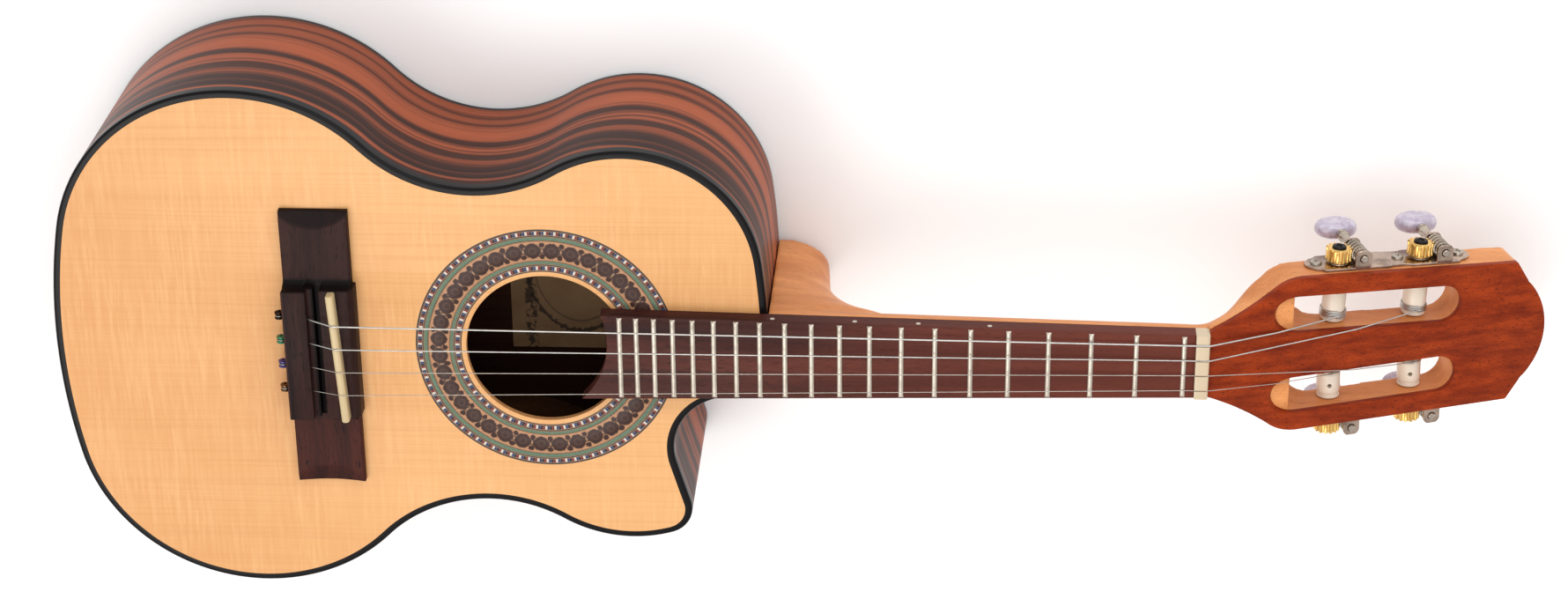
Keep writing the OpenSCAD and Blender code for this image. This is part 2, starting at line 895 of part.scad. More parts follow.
module gear(k) {
    color("#d9a83f") at_tuner(k) translate([0, axle_v + gear_t / 2, 0]) rotate([90, 0, 0]) difference() {
        linear_extrude(gear_t) polygon(gear_outline());
        translate([0, 0, -1]) cylinder(r = gear_hub_r + glue_gap, h = gear_t + 2);
    }
}

module gear_1() {
    gear(1);
}

module gear_2() {
    gear(2);
}

module gear_3() {
    gear(3);
}

module gear_4() {
    gear(4);
}

module gear_screw(k) {
    color("#4a4440") at_tuner(k) translate([0, axle_v + gear_t / 2, 0]) rotate([90, 0, 0]) difference() {
        union() {
            translate([0, 0, -gear_screw_h]) cylinder(r = gear_screw_r, h = gear_screw_h);
            cylinder(r = gear_screw_hole_r - glue_gap, h = gear_t - 1);
        }
        box(-4, 4, -0.35, 0.35, -2, -0.5);
    }
}

module gear_screw_1() {
    gear_screw(1);
}

module gear_screw_2() {
    gear_screw(2);
}

module gear_screw_3() {
    gear_screw(3);
}

module gear_screw_4() {
    gear_screw(4);
}

module roller_shaft(k) {
    inner = slot_wall + slot_w + 5.5;
    color("#c3beb4") at_tuner(k) rotate([90, 0, 0]) difference() {
        union() {
            translate([0, 0, -axle_v + gear_t / 2]) cylinder(r = shaft_r, h = inner + axle_v - gear_t / 2);
            translate([0, 0, -axle_v - gear_t / 2]) cylinder(r = gear_hub_r, h = gear_t);
        }
        translate([0, 0, -axle_v - gear_t / 2 - 1]) cylinder(r = gear_screw_hole_r, h = gear_t + 1, $fn = 24);
    }
}

module roller_shaft_1() {
    roller_shaft(1);
}

module roller_shaft_2() {
    roller_shaft(2);
}

module roller_shaft_3() {
    roller_shaft(3);
}

module roller_shaft_4() {
    roller_shaft(4);
}

module roller(k) {
    color("#f3ede2") at_tuner(k) rotate([90, 0, 0]) difference() {
        translate([0, 0, slot_wall + roller_gap]) cylinder(r = roller_r, h = slot_w - 2 * roller_gap);
        translate([0, 0, slot_wall]) cylinder(r = shaft_r + glue_gap, h = slot_w);
        translate([0, -10, slot_wall + slot_w / 2]) rotate([-90, 0, 0]) cylinder(r = string_hole_r, h = 7, $fn = 24);
    }
}

module roller_1() {
    roller(1);
}

module roller_2() {
    roller(2);
}

module roller_3() {
    roller(3);
}

module roller_4() {
    roller(4);
}

// String turns wound on a roller
module winding(k) {
    r = string_diameters[k - 1] / 2;
    color("#b8b3ad") at_tuner(k) translate([0, winding_v, 0]) rotate([90, 0, 0]) rotate_extrude()
        for (i = [0:winding_turns - 1])
            translate([roller_r + r + glue_gap, (i - (winding_turns - 1) / 2) * 2 * r * 0.98]) circle(r = r, $fn = 20);
}

module winding_1() {
    winding(1);
}

module winding_2() {
    winding(2);
}

module winding_3() {
    winding(3);
}

module winding_4() {
    winding(4);
}

// ---- Strings ----

// Distance along the head where a string meets the edge of its slot
function slot_edge_s(k) = k == 1 || k == 4 ? 35 : 68.7;

function tuner_s(k) = shoulder_s + tuner_u(k) * cos(head_taper) + winding_v * sin(head_taper);

function string_path(k) =
    let (
        r = string_diameters[k - 1] / 2,
        saddle_y = spread_y(k, saddle_spread),
        nut_y = spread_y(k, nut_spread),
        side = tuner_side(k),
        end_s = tuner_s(k),
        end_y = side * (side_y(end_s) + winding_v),
        nut_s = 6.8,
        edge_y = nut_y + (end_y - nut_y) * (slot_edge_s(k) - nut_s) / (end_s - nut_s),
        end_h = -tuner_depth + roller_r + 3 * r + 0.1
    ) [
        tie_entry(k) + [-0.05, 0, 0],
        tie_exit(k),
        [saddle_line_x(saddle_y), saddle_y, top_z + saddle_h + r + 0.03],
        [scale_length, nut_y, fret_z + r + 0.03],
        [nut_end_x + 0.4, nut_y, fret_z + r - 0.1],
        head_point(slot_edge_s(k), edge_y, r + 0.4),
        head_point(end_s, end_y, end_h)
    ];

function unit(v) = v / norm(v);

// Twelve-sided section of a string at path point i, square to the bend's middle direction
function string_section(path, i, r) =
    let (
        last = len(path) - 1,
        before = unit(path[max(i, 1)] - path[max(i, 1) - 1]),
        after = unit(path[min(i, last - 1) + 1] - path[min(i, last - 1)]),
        along = unit(before + after),
        across = unit(cross([0, 0, 1], along)),
        up = cross(along, across)
    )
    [for (a = [0:30:330]) path[i] + r * (cos(a) * across + sin(a) * up)];

module string_of(k) {
    path = string_path(k);
    r = string_diameters[k - 1] / 2;
    color("#c8c4bd") loft([for (i = [0:len(path) - 1]) string_section(path, i, r)]);
}

module string_1() {
    string_of(1);
}

module string_2() {
    string_of(2);
}

module string_3() {
    string_of(3);
}

module string_4() {
    string_of(4);
}

module ball_ends() {
    color("#b08a3c") for (k = [1:4])
        translate(tie_entry(k) + [-ball_r - 0.05, 0, 0]) sphere(r = ball_r, $fn = 32);
}

soundboard();
back_plate();
side_bass();
side_treble();
top_binding();
back_binding();
top_lining();
back_lining();
neck_block();
tail_block();
top_braces();
back_braces();
bridge_plate();
rosette();
label();
bridge();
saddle();
fingerboard();
frets();
side_dots();
nut();
neck();
head_veneer();
plate_bass();
plate_treble();
plate_screws();
worm_1();
worm_2();
worm_3();
worm_4();
button_1();
button_2();
button_3();
button_4();
gear_1();
gear_2();
gear_3();
gear_4();
gear_screw_1();
gear_screw_2();
gear_screw_3();
gear_screw_4();
roller_shaft_1();
roller_shaft_2();
roller_shaft_3();
roller_shaft_4();
roller_1();
roller_2();
roller_3();
roller_4();
winding_1();
winding_2();
winding_3();
winding_4();
string_1();
string_2();
string_3();
string_4();
ball_ends();
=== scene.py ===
"""A four-string cavaquinho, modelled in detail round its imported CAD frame."""

from math import acos, asin, atan2, copysign, cos, degrees, dist, exp, hypot, pi, radians, sin, sqrt, tan

import bmesh
import bpy
import numpy as np
from mathutils import Matrix, Vector
from mathutils.geometry import tessellate_polygon


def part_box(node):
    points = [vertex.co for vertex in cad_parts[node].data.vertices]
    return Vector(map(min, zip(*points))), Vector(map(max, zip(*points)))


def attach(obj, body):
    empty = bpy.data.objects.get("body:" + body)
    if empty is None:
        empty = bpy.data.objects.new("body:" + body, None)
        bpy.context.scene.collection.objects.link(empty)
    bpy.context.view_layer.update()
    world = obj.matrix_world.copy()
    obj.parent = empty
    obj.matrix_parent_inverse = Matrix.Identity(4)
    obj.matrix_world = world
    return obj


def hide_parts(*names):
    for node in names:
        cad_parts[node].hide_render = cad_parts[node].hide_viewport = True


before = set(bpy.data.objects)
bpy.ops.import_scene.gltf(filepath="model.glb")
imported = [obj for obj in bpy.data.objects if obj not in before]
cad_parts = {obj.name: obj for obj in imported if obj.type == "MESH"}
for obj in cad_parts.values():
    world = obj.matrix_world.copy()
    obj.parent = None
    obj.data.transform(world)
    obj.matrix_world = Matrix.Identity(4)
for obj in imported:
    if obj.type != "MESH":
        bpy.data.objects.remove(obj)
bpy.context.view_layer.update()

MM = 0.001
BODY = "instrument"

# ---- dimensions, in mm; x runs to the head, y to the bass side, z out of the soundboard
TOP_Z = round(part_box("soundboard")[1].z * 1000, 3)
BOARD_Z = round(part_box("fingerboard")[1].z * 1000, 3)
FRET_Z = round(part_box("frets")[1].z * 1000, 3)
JOINT_X = round(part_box("top_binding")[1].x * 1000, 3)
TAIL_X = -round(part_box("top_binding")[0].x * 1000, 3)
LOWER_W = round(2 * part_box("top_binding")[1].y * 1000, 2)
SCALE = 340.0  # from the saddle line to the zero fret
# radii of the body's arcs, and the width of its upper bout
LOWER_R, UPPER_W, UPPER_R, WAIST_R = 74.9, 174.8, 55.4, 60.0
TAIL_R, SHOULDER_R = 260.0, 305.0
# the cutaway: the horn's tip and its direction, then the hollow and its centre
HORN_R, HORN_ANGLE, CUT_R, CUT_C = 12.0, 72.7, 24.0, (157.7, 45.0)
HOLE_X, HOLE_R, ROSETTE_R, ROSETTE_IN = 82.6, 32.6, 53.4, 34.6
# the nut, then the head: its origin, tilt, thickness, half width, length, taper and shoulder
NUT_X0, NUT_X1 = (round(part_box("nut")[i].x * 1000, 3) for i in (0, 1))
HEAD_X, HEAD_Z, HEAD_ANGLE, HEAD_T, VENEER_T = 344.0, FRET_Z - 1.3, 15.5, 17.5, 2.5
HEAD_W, HEAD_L, HEAD_TAPER, SHOULDER_S = 34.2, 151.0, 2.0, 45.0
# width of a string slot, and of the wood outside it
SLOT_W, SLOT_WALL = 16.0, 8.2
# diameters of strings 1 to 4
DIAMETERS = (0.3, 0.36, 0.6, 0.76)
# the worm's height over the plate and offset from its gear, the rollers' depth and radius
AXLE_V, WORM_U, TUNER_DEPTH, ROLLER_R = 4.9, 8.1, 10.5, 4.8
BUTTON_DROP = -24.5  # from the worm's middle to the button's
# places of the gears and of the plate screws along the head's side
GEAR_U, PLATE_SCREW_U = (18.0, 53.0), (8.5, 43.5, 69.6)
# spread of the outer strings at saddle and nut, the saddle's slant in degrees and its top over the soundboard
SADDLE_SPREAD, NUT_SPREAD, SADDLE_TILT, SADDLE_TOP = 31.2, 20.2, 3.3, 14.0
# height of the string holes at the back of the bridge, and place of the ball ends
TIE_Z, BALL_X = 5.6, -24.55


# ---- outlines
def heading(p, q):
    """Direction from p to q in degrees."""
    return degrees(atan2(q[1] - p[1], q[0] - p[0]))


def arc(c, r, a0, a1, n):
    """Points of an arc from a0 degrees up to, but without, a1 degrees."""
    steps = [radians(a0 + (a1 - a0) * i / n) for i in range(n)]
    return [(c[0] + r * cos(a), c[1] + r * sin(a)) for a in steps]


def body_centres():
    """Centres of the lower bout, upper bout and waist arcs, each touching its neighbours."""
    lower = (
        TAIL_R - TAIL_X - sqrt((TAIL_R - LOWER_R) ** 2 - (LOWER_W / 2 - LOWER_R) ** 2),
        LOWER_W / 2 - LOWER_R,
    )
    upper = (
        JOINT_X - SHOULDER_R + sqrt((SHOULDER_R - UPPER_R) ** 2 - (UPPER_W / 2 - UPPER_R) ** 2),
        UPPER_W / 2 - UPPER_R,
    )
    a, b = LOWER_R + WAIST_R, UPPER_R + WAIST_R
    dx, dy = upper[0] - lower[0], upper[1] - lower[1]
    d = hypot(dx, dy)
    ex, ey = dx / d, dy / d
    along = (a * a - b * b + d * d) / (2 * d)
    off = sqrt(a * a - along * along)
    waist = (lower[0] + ex * along - ey * off, lower[1] + ey * along + ex * off)
    return lower, upper, waist


def body_outline(inset):
    """The body's outline moved inwards, always with the same number of points, counter-clockwise."""
    lower, upper, waist = body_centres()
    tail, shoulder = (TAIL_R - TAIL_X, 0), (JOINT_X - SHOULDER_R, 0)
    half = (
        arc(tail, TAIL_R - inset, 180, heading(tail, lower), 24)
        + arc(lower, LOWER_R - inset, heading(tail, lower), heading(lower, waist), 72)
        + arc(waist, WAIST_R + inset, heading(waist, lower), heading(waist, upper), 40)
    )
    bass = half + arc(upper, UPPER_R - inset, heading(upper, waist), heading(shoulder, upper), 54)
    bass += arc(shoulder, SHOULDER_R - inset, heading(shoulder, upper), 0, 18)
    horn = (
        upper[0] + (UPPER_R - HORN_R) * cos(radians(HORN_ANGLE)),
        upper[1] + (UPPER_R - HORN_R) * sin(radians(HORN_ANGLE)),
    )
    gap = hypot(CUT_C[0] - horn[0], CUT_C[1] - horn[1])
    meet = heading(horn, CUT_C) + degrees(acos((HORN_R + CUT_R) / gap))
    treble = half + arc(upper, UPPER_R - inset, heading(upper, waist), HORN_ANGLE, 20)
    treble += arc(horn, HORN_R - inset, HORN_ANGLE, meet, 24)
    treble += arc(CUT_C, CUT_R + inset, meet + 180, 270, 30)
    treble += [(CUT_C[0], CUT_C[1] - CUT_R - inset), (JOINT_X - inset, CUT_C[1] - CUT_R - inset)]
    points = bass + [(JOINT_X - inset, 0)] + [(x, -y) for x, y in reversed(treble[1:])]
    return points[::-1]


def circle(cx, cy, r, n=128, clockwise=False):
    """A round outline, for a hole when clockwise."""
    points = arc((cx, cy), r, 0, 360, n)
    return points[::-1] if clockwise else points


def move_left(loop, d):
    """Each point moved to the left of the loop's direction, which is into the material."""
    if abs(d) < 1e-9:
        return list(loop)
    n, out = len(loop), []
    for i in range(n):
        a, b, c = (Vector(loop[j]) for j in ((i - 1) % n, i, (i + 1) % n))
        e0, e1 = (b - a).normalized(), (c - b).normalized()
        n0, n1 = Vector((-e0.y, e0.x)), Vector((-e1.y, e1.x))
        m = (n0 + n1).normalized()
        k = max(0.35, m.dot(n0))
        out.append(tuple(b + m * (d / k)))
    return out


def round_corners(poly, r, n=4):
    """A closed outline with its corners rounded to radius r, or less where an edge is short."""
    out, m = [], len(poly)
    for i in range(m):
        a, b, c = (Vector(poly[j]) for j in ((i - 1) % m, i, (i + 1) % m))
        e0, e1 = a - b, c - b
        reach = min(r, e0.length * 0.45, e1.length * 0.45)
        p, q = b + e0.normalized() * reach, b + e1.normalized() * reach
        for j in range(n + 1):
            t = j / n
            out.append(tuple(p * (1 - t) ** 2 + b * 2 * t * (1 - t) + q * t * t))
    return out


def rounded(z0, z1, r, n=3):
    """(inset, z) stages of a wall that starts square at z0 and ends in a rounded edge at z1."""
    steps = [pi / 2 * i / n for i in range(n, -1, -1)]
    return [(0, z0)] + [(r * (1 - sin(a)), z1 - r * (1 - cos(a))) for a in steps]


def move(x, y, z):
    return Matrix.Translation((x, y, z))


def turned(angle, axis):
    return Matrix.Rotation(radians(angle), 4, axis)


# ---- meshes
def shade(me, angle):
    """Smooth shading, with edges sharper than angle left crisp."""
    for p in me.polygons:
        p.use_smooth = True
    me.set_sharp_from_angle(angle=radians(angle))


def add(name, verts, faces, material, node=None, slot=None, angle=32, body=BODY):
    """A piece made from points in mm, riding on a body and standing for a CAD node."""
    me = bpy.data.meshes.new(name)
    me.from_pydata([tuple(Vector(v) * MM) for v in verts], [], faces)
    bm = bmesh.new()
    bm.from_mesh(me)
    bmesh.ops.recalc_face_normals(bm, faces=bm.faces)
    bm.to_mesh(me)
    bm.free()
    shade(me, angle)
    me.materials.append(material)
    ob = bpy.data.objects.new(name, me)
    bpy.context.scene.collection.objects.link(ob)
    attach(ob, body)
    if node:
        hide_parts(node)
    return ob


def bake_modifiers(ob, angle=28):
    """Applies the piece's modifiers to its mesh."""
    bpy.context.view_layer.update()
    me = bpy.data.meshes.new_from_object(ob.evaluated_get(bpy.context.evaluated_depsgraph_get()))
    old = ob.data
    ob.modifiers.clear()
    ob.data = me
    bpy.data.meshes.remove(old)
    shade(me, angle)


def carve(ob, tools):
    """Cuts the tools' solids out of a piece, then removes them."""
    for tool in tools:
        mod = ob.modifiers.new("cut", "BOOLEAN")
        mod.operation, mod.solver, mod.object = "DIFFERENCE", "EXACT", tool
    bake_modifiers(ob)
    for tool in tools:
        bpy.data.objects.remove(tool)


def merge(shells):
    """One list of vertices and faces from several closed shells."""
    verts, faces = [], []
    for vs, fs in shells:
        base = len(verts)
        verts += list(vs)
        faces += [tuple(i + base for i in f) for f in fs]
    return verts, faces


def slab(loops, stages, loop_at=None):
    """A solid between loops (the first counter-clockwise, holes clockwise) through (inset, z) stages."""
    verts, faces, sizes = [], [], [len(loop) for loop in loops]
    total = sum(sizes)
    for inset, z in stages:
        for i, loop in enumerate(loops):
            ring = loop_at(i, inset, z) if loop_at else move_left(loop, inset)
            verts += [(x, y, z) for x, y in ring]
    for s in range(len(stages) - 1):
        base = 0
        for size in sizes:
            for j in range(size):
                a, b = base + j, base + (j + 1) % size
                faces.append((s * total + a, s * total + b, (s + 1) * total + b, (s + 1) * total + a))
            base += size
    for s, flip in ((0, True), (len(stages) - 1, False)):
        rings, k = [], s * total
        for size in sizes:
            rings.append([Vector(verts[k + j]).to_2d().to_3d() for j in range(size)])
            k += size
        for tri in tessellate_polygon(rings):
            t = [s * total + i for i in tri]
            faces.append(tuple(reversed(t)) if flip else tuple(t))
    return verts, faces


def sweep(profile_loops, closed=True):
    """Rings of points joined in order round a closed profile."""
    m, n = len(profile_loops), len(profile_loops[0])
    verts = [v for ring in profile_loops for v in ring]
    faces = []
    for i in range(m):
        for j in range(n if closed else n - 1):
            a, b = (j, (j + 1) % n)
            faces.append((i * n + a, i * n + b, ((i + 1) % m) * n + b, ((i + 1) % m) * n + a))
    if not closed:
        faces.append(tuple(i * n for i in range(m)))
        faces.append(tuple(i * n + n - 1 for i in reversed(range(m))))
    return verts, faces


def loft(sections):
    """A solid through sections with equal numbers of points."""
    m, n = len(sections[0]), len(sections)
    verts = [p for s in sections for p in s]
    faces = [tuple(range(m))[::-1], tuple((n - 1) * m + j for j in range(m))]
    for i in range(n - 1):
        for j in range(m):
            faces.append((i * m + j, i * m + (j + 1) % m, (i + 1) * m + (j + 1) % m, (i + 1) * m + j))
    return verts, faces


def revolve(profile, n=48):
    """A solid of revolution about z from (r, z) points; radius 0 closes an end."""
    verts, faces, rings = [], [], []
    for r, z in profile:
        if r < 1e-6:
            rings.append([len(verts)])
            verts.append((0, 0, z))
        else:
            rings.append(list(range(len(verts), len(verts) + n)))
            verts += [(r * cos(2 * pi * j / n), r * sin(2 * pi * j / n), z) for j in range(n)]
    pairs = list(zip(rings, rings[1:]))
    if len(rings[0]) > 1 and len(rings[-1]) > 1:
        pairs.append((rings[-1], rings[0]))
    for a, b in pairs:
        for j in range(n):
            k = (j + 1) % n
            if len(a) == 1:
                faces.append((a[0], b[k], b[j]))
            elif len(b) == 1:
                faces.append((a[j], a[k], b[0]))
            else:
                faces.append((a[j], a[k], b[k], b[j]))
    return verts, faces


def transform(shell, matrix):
    """A shell with its points moved by a matrix."""
    return [matrix @ Vector(v) for v in shell[0]], shell[1]


def tube(path, radius, n=12):
    """A round tube along a path; radius may be a function of the point's index."""
    pts = [Vector(p) for p in path]
    sections, up = [], None
    for i, p in enumerate(pts):
        a, b = pts[max(i - 1, 0)], pts[min(i + 1, len(pts) - 1)]
        t = (b - a).normalized()
        if up is None:
            up = Vector((0, 0, 1)) if abs(t.z) < 0.9 else Vector((0, 1, 0))
        side = t.cross(up).normalized()
        up = side.cross(t).normalized()
        r = radius(i) if callable(radius) else radius
        sections.append(
            [p + side * (r * cos(2 * pi * j / n)) + up * (r * sin(2 * pi * j / n)) for j in range(n)]
        )
    return loft(sections)


def height_block(xs, ys, height, z0):
    """A block on a grid whose top follows height(x, y)."""
    nx, ny = len(xs), len(ys)
    verts = [(x, y, height(x, y)) for y in ys for x in xs] + [(x, y, z0) for y in ys for x in xs]
    faces, k = [], nx * ny
    for j in range(ny - 1):
        for i in range(nx - 1):
            a = j * nx + i
            faces.append((a, a + 1, a + nx + 1, a + nx))
            faces.append((k + a, k + a + nx, k + a + nx + 1, k + a + 1))
    rim = [i for i in range(nx)] + [j * nx + nx - 1 for j in range(1, ny)]
    rim += [(ny - 1) * nx + i for i in range(nx - 2, -1, -1)] + [j * nx for j in range(ny - 2, 0, -1)]
    for a, b in zip(rim, rim[1:] + rim[:1]):
        faces.append((a, k + a, k + b, b))
    return verts, faces


# ---- material nodes
def srgb(colour):
    """Linear colour from a "#rrggbb" name."""
    levels = [int(colour[i : i + 2], 16) for i in (1, 3, 5)]
    return tuple(((c / 255 + 0.055) / 1.055) ** 2.4 if c > 10 else c / 255 / 12.92 for c in levels)


class Value:
    """A node's output, which plain sums turn into math nodes."""

    def __init__(self, graph, socket):
        self.graph, self.socket = graph, socket

    def __abs__(self):
        return self.graph.math("ABSOLUTE", self)


for sign, op in (("add", "ADD"), ("sub", "SUBTRACT"), ("mul", "MULTIPLY"), ("truediv", "DIVIDE")):
    setattr(Value, f"__{sign}__", lambda a, b, op=op: a.graph.math(op, a, b))
    setattr(Value, f"__r{sign}__", lambda a, b, op=op: a.graph.math(op, b, a))


class Graph:
    """A node material on a Principled shader, with short calls for the usual nodes."""

    def __init__(self, name, roughness=0.5, metallic=0.0, coat=0.0, coat_rough=0.1, ior=1.5):
        self.mat = bpy.data.materials.new(name)
        self.mat.use_nodes = True
        self.bsdf = self.mat.node_tree.nodes["Principled BSDF"]
        self.set(Roughness=roughness, Metallic=metallic, IOR=ior)
        self.set(Coat_Weight=coat, Coat_Roughness=coat_rough, Coat_IOR=1.35)
        self.pos = self.node("TexCoord", "Object")

    def put(self, socket, value):
        if isinstance(value, str):
            value = srgb(value)
        if isinstance(value, Value):
            self.mat.node_tree.links.new(value.socket, socket)
        elif isinstance(value, (int, float)):
            socket.default_value = value
        else:
            socket.default_value = tuple(value) + (1.0,) * (len(socket.default_value) - len(value))

    def node(self, kind, out=0, inputs=None, **settings):
        node = self.mat.node_tree.nodes.new("ShaderNode" + kind)
        for key, value in settings.items():
            setattr(node, key, value)
        for key, value in (inputs or {}).items():
            self.put(node.inputs[key], value)
        return Value(self, node.outputs[out])

    def attribute(self, name):
        return self.node("Attribute", "Vector", attribute_name=name)

    def mapping(self, vector, scale, location=(0, 0, 0)):
        return self.node("Mapping", 0, {"Vector": vector, "Scale": scale, "Location": location})

    def noise(self, vector, scale=1.0, detail=4.0, rough=0.5, distortion=0.0, out="Fac"):
        inputs = {"Vector": vector, "Scale": scale, "Detail": detail, "Roughness": rough}
        return self.node("TexNoise", out, {**inputs, "Distortion": distortion})

    def voronoi(self, vector, scale):
        return self.node("TexVoronoi", "Distance", {"Vector": vector, "Scale": scale})

    def ramp(self, value, stops, smooth=False):
        out = self.node("ValToRGB", "Color", {"Fac": value})
        ramp = out.socket.node.color_ramp
        ramp.interpolation = "EASE" if smooth else "LINEAR"
        while len(ramp.elements) < len(stops):
            ramp.elements.new(0.5)
        for element, (at, colour) in zip(ramp.elements, stops):
            element.position = at
            element.color = (*(srgb(colour) if isinstance(colour, str) else (colour,) * 3), 1.0)
        return out

    def math(self, op, *values):
        return self.node("Math", 0, dict(enumerate(values)), operation=op)

    def hypot(self, a, b):
        return self.math("SQRT", a * a + b * b)

    def mix(self, fac, a, b):
        return self.node("Mix", 2, {0: fac, 6: a, 7: b}, data_type="RGBA")

    def tint(self, base, value, low, high, amount, colour):
        """Base tinted with a colour, from nothing where value is low to amount where it is high."""
        return self.mix(self.ramp(value, [(low, 0.0), (high, amount)]), base, colour)

    def separate(self, vector):
        node = self.node("SeparateXYZ", 0, {0: vector}).socket.node
        return [Value(self, socket) for socket in node.outputs]

    def combine(self, x, y, z):
        return self.node("CombineXYZ", 0, {0: x, 1: y, 2: z})

    def bump(self, height, strength, distance):
        self.set(Normal=self.node("Bump", 0, {"Height": height, "Strength": strength, "Distance": distance}))

    def set(self, **values):
        for key, value in values.items():
            self.put(self.bsdf.inputs[key.replace("_", " ")], value)
        return self.mat


def spruce():
    """Pale spruce with fine lines, cross silk and a warmer tail end."""
    g = Graph("spruce_lacquered", coat=0.12, coat_rough=0.2)
    warp = g.noise(g.mapping(g.pos, (9, 30, 9)), 1, 2)
    x, y, _ = g.separate(g.pos)
    across = y + warp * 0.0022
    lines = g.noise(g.combine(x * 6, across * 820, 0.0), 1, 3, 0.6)
    rings = g.noise(g.combine(x * 2, across * 210, 3.0), 1, 1, 0.5)
    broad = g.noise(g.mapping(g.pos, (6, 18, 8)), 1, 3)
    silk = g.noise(g.mapping(g.pos, (540, 34, 60)), 1, 4, 0.7)
    patch = g.noise(g.mapping(g.pos, (60, 26, 30)), 1, 3, 0.6)
    base = g.ramp(broad, [(0.32, "#d0965c"), (0.68, "#dba56c")])
    base = g.tint(base, lines, 0.45, 0.72, 0.34, "#c0804a")
    base = g.tint(base, rings, 0.45, 0.7, 0.16, "#c88e58")
    tail = x * -4.0 + patch * 0.3
    base = g.tint(base, tail, 0.05, 0.65, 0.4, "#c6864c")
    dx = x - HOLE_X * MM
    radius = g.hypot(dx, y)
    base = g.mix(g.ramp(radius * 10, [(0.3265, 0.75), (0.3275, 0.0)]), base, "#96522a")
    shimmer = g.ramp(silk, [(0.42, 0.0), (0.7, 0.6)]) * g.ramp(patch, [(0.35, 0.2), (0.7, 0.75)])
    base = g.mix(shimmer, base, "#e8ba84")
    g.bump(lines + silk * 0.6, 0.05, 0.0001)
    rough = 0.4 + silk * 0.12
    return g.set(Base_Color=base, Roughness=rough, Specular_IOR_Level=0.3)


def striped_rib():
    """Dark and orange stripes laid along the rib, by height, each wandering a little."""
    g = Graph("striped_ebony_glossy", coat=0.1, coat_rough=0.1, ior=1.22)
    along, inner, up = g.separate(g.attribute("grain"))
    slow = g.noise(g.combine(along * 4.0, up * 10, inner), 1, 2, 0.5)
    quick = g.noise(g.combine(along * 11.0, up * 120, inner), 1, 2, 0.5)
    level = up / 0.083
    level = level + (slow - 0.5) * 0.22
    level = level + (quick - 0.5) * 0.07
    bands = ((0.0, 0.2), (0.05, 0.75), (0.1, 0.8), (0.13, 0.15), (0.16, 0.7), (0.2, 0.75), (0.235, 0.1),
        (0.265, 0.85), (0.35, 1.0),
             (0.43, 0.9), (0.46, 0.08), (0.5, 0.05), (0.53, 0.85), (0.6, 0.8), (0.63, 0.06), (0.68, 0.1),
             (0.7, 0.6), (0.75, 0.55),
             (0.78, 0.05), (0.84, 0.0), (0.86, 0.22), (0.88, 0.02), (0.925, 0.0), (0.94, 0.85),
             (0.955, 0.85), (0.97, 0.05))
    mask = g.ramp(level, bands)
    thin = g.noise(g.combine(along * 2.2, level * 34, 5.0), 1, 3, 0.55)
    fibre = g.noise(g.combine(along * 60, up * 2600, 9.0), 1, 3, 0.6)
    light = g.mix(thin, "#8a3e25", "#bc6642")
    dark = g.mix(thin, "#1a1110", "#3e241d")
    colour = g.mix(mask, dark, light)
    colour = g.tint(colour, thin, 0.52, 0.66, 0.7, "#341f1b")
    colour = g.tint(colour, fibre, 0.5, 0.75, 0.3, "#301c19")
    g.bump(fibre, 0.06, 0.0001)
    return g.set(Base_Color=colour, Roughness=0.34 + fibre * 0.15, Specular_IOR_Level=0.22)


def lacquered_wood(name, light, dark, pore, along, gloss, coat, streak, pores, redder=None):
    """Straight-grained wood along x with streaks, fibres and pores; redder gives (x0, x1, colour, amount)."""
    g = Graph(name, coat=coat, coat_rough=0.15, ior=1.3)
    warp = g.noise(g.mapping(g.pos, (16, 40, 40)), 1, 2, out="Color")
    vec = g.mix(0.004, g.pos, warp)
    streaks = g.noise(g.mapping(vec, (along[0] * 0.5, along[1] * 0.35, along[2] * 0.35)), 1, 3, 0.55)
    fibres = g.noise(g.mapping(vec, (along[0] * 6, along[1] * 5, along[2] * 5)), 1, 3, 0.6)
    holes = g.noise(g.mapping(vec, (along[0] * 18, 2400, 2400), (0.3, 0.1, 0)), 1, 1, 0.5)
    base = g.tint(dark, streaks, 0.3, 0.7, 1.0, light)
    base = g.tint(base, fibres, 0.4, 0.8, streak, dark)
    base = g.tint(base, holes, 0.62, 0.7, pores, pore)
    if redder:
        x0, x1, colour, amount = redder
        base = g.tint(base, (g.separate(g.pos)[0] - x0) / (x1 - x0), 0.0, 1.0, amount, colour)
    g.bump(fibres - holes * 0.5, 0.1, 0.0001)
    return g.set(Base_Color=base, Roughness=gloss - 0.06 + fibres * 0.16, Specular_IOR_Level=0.22)


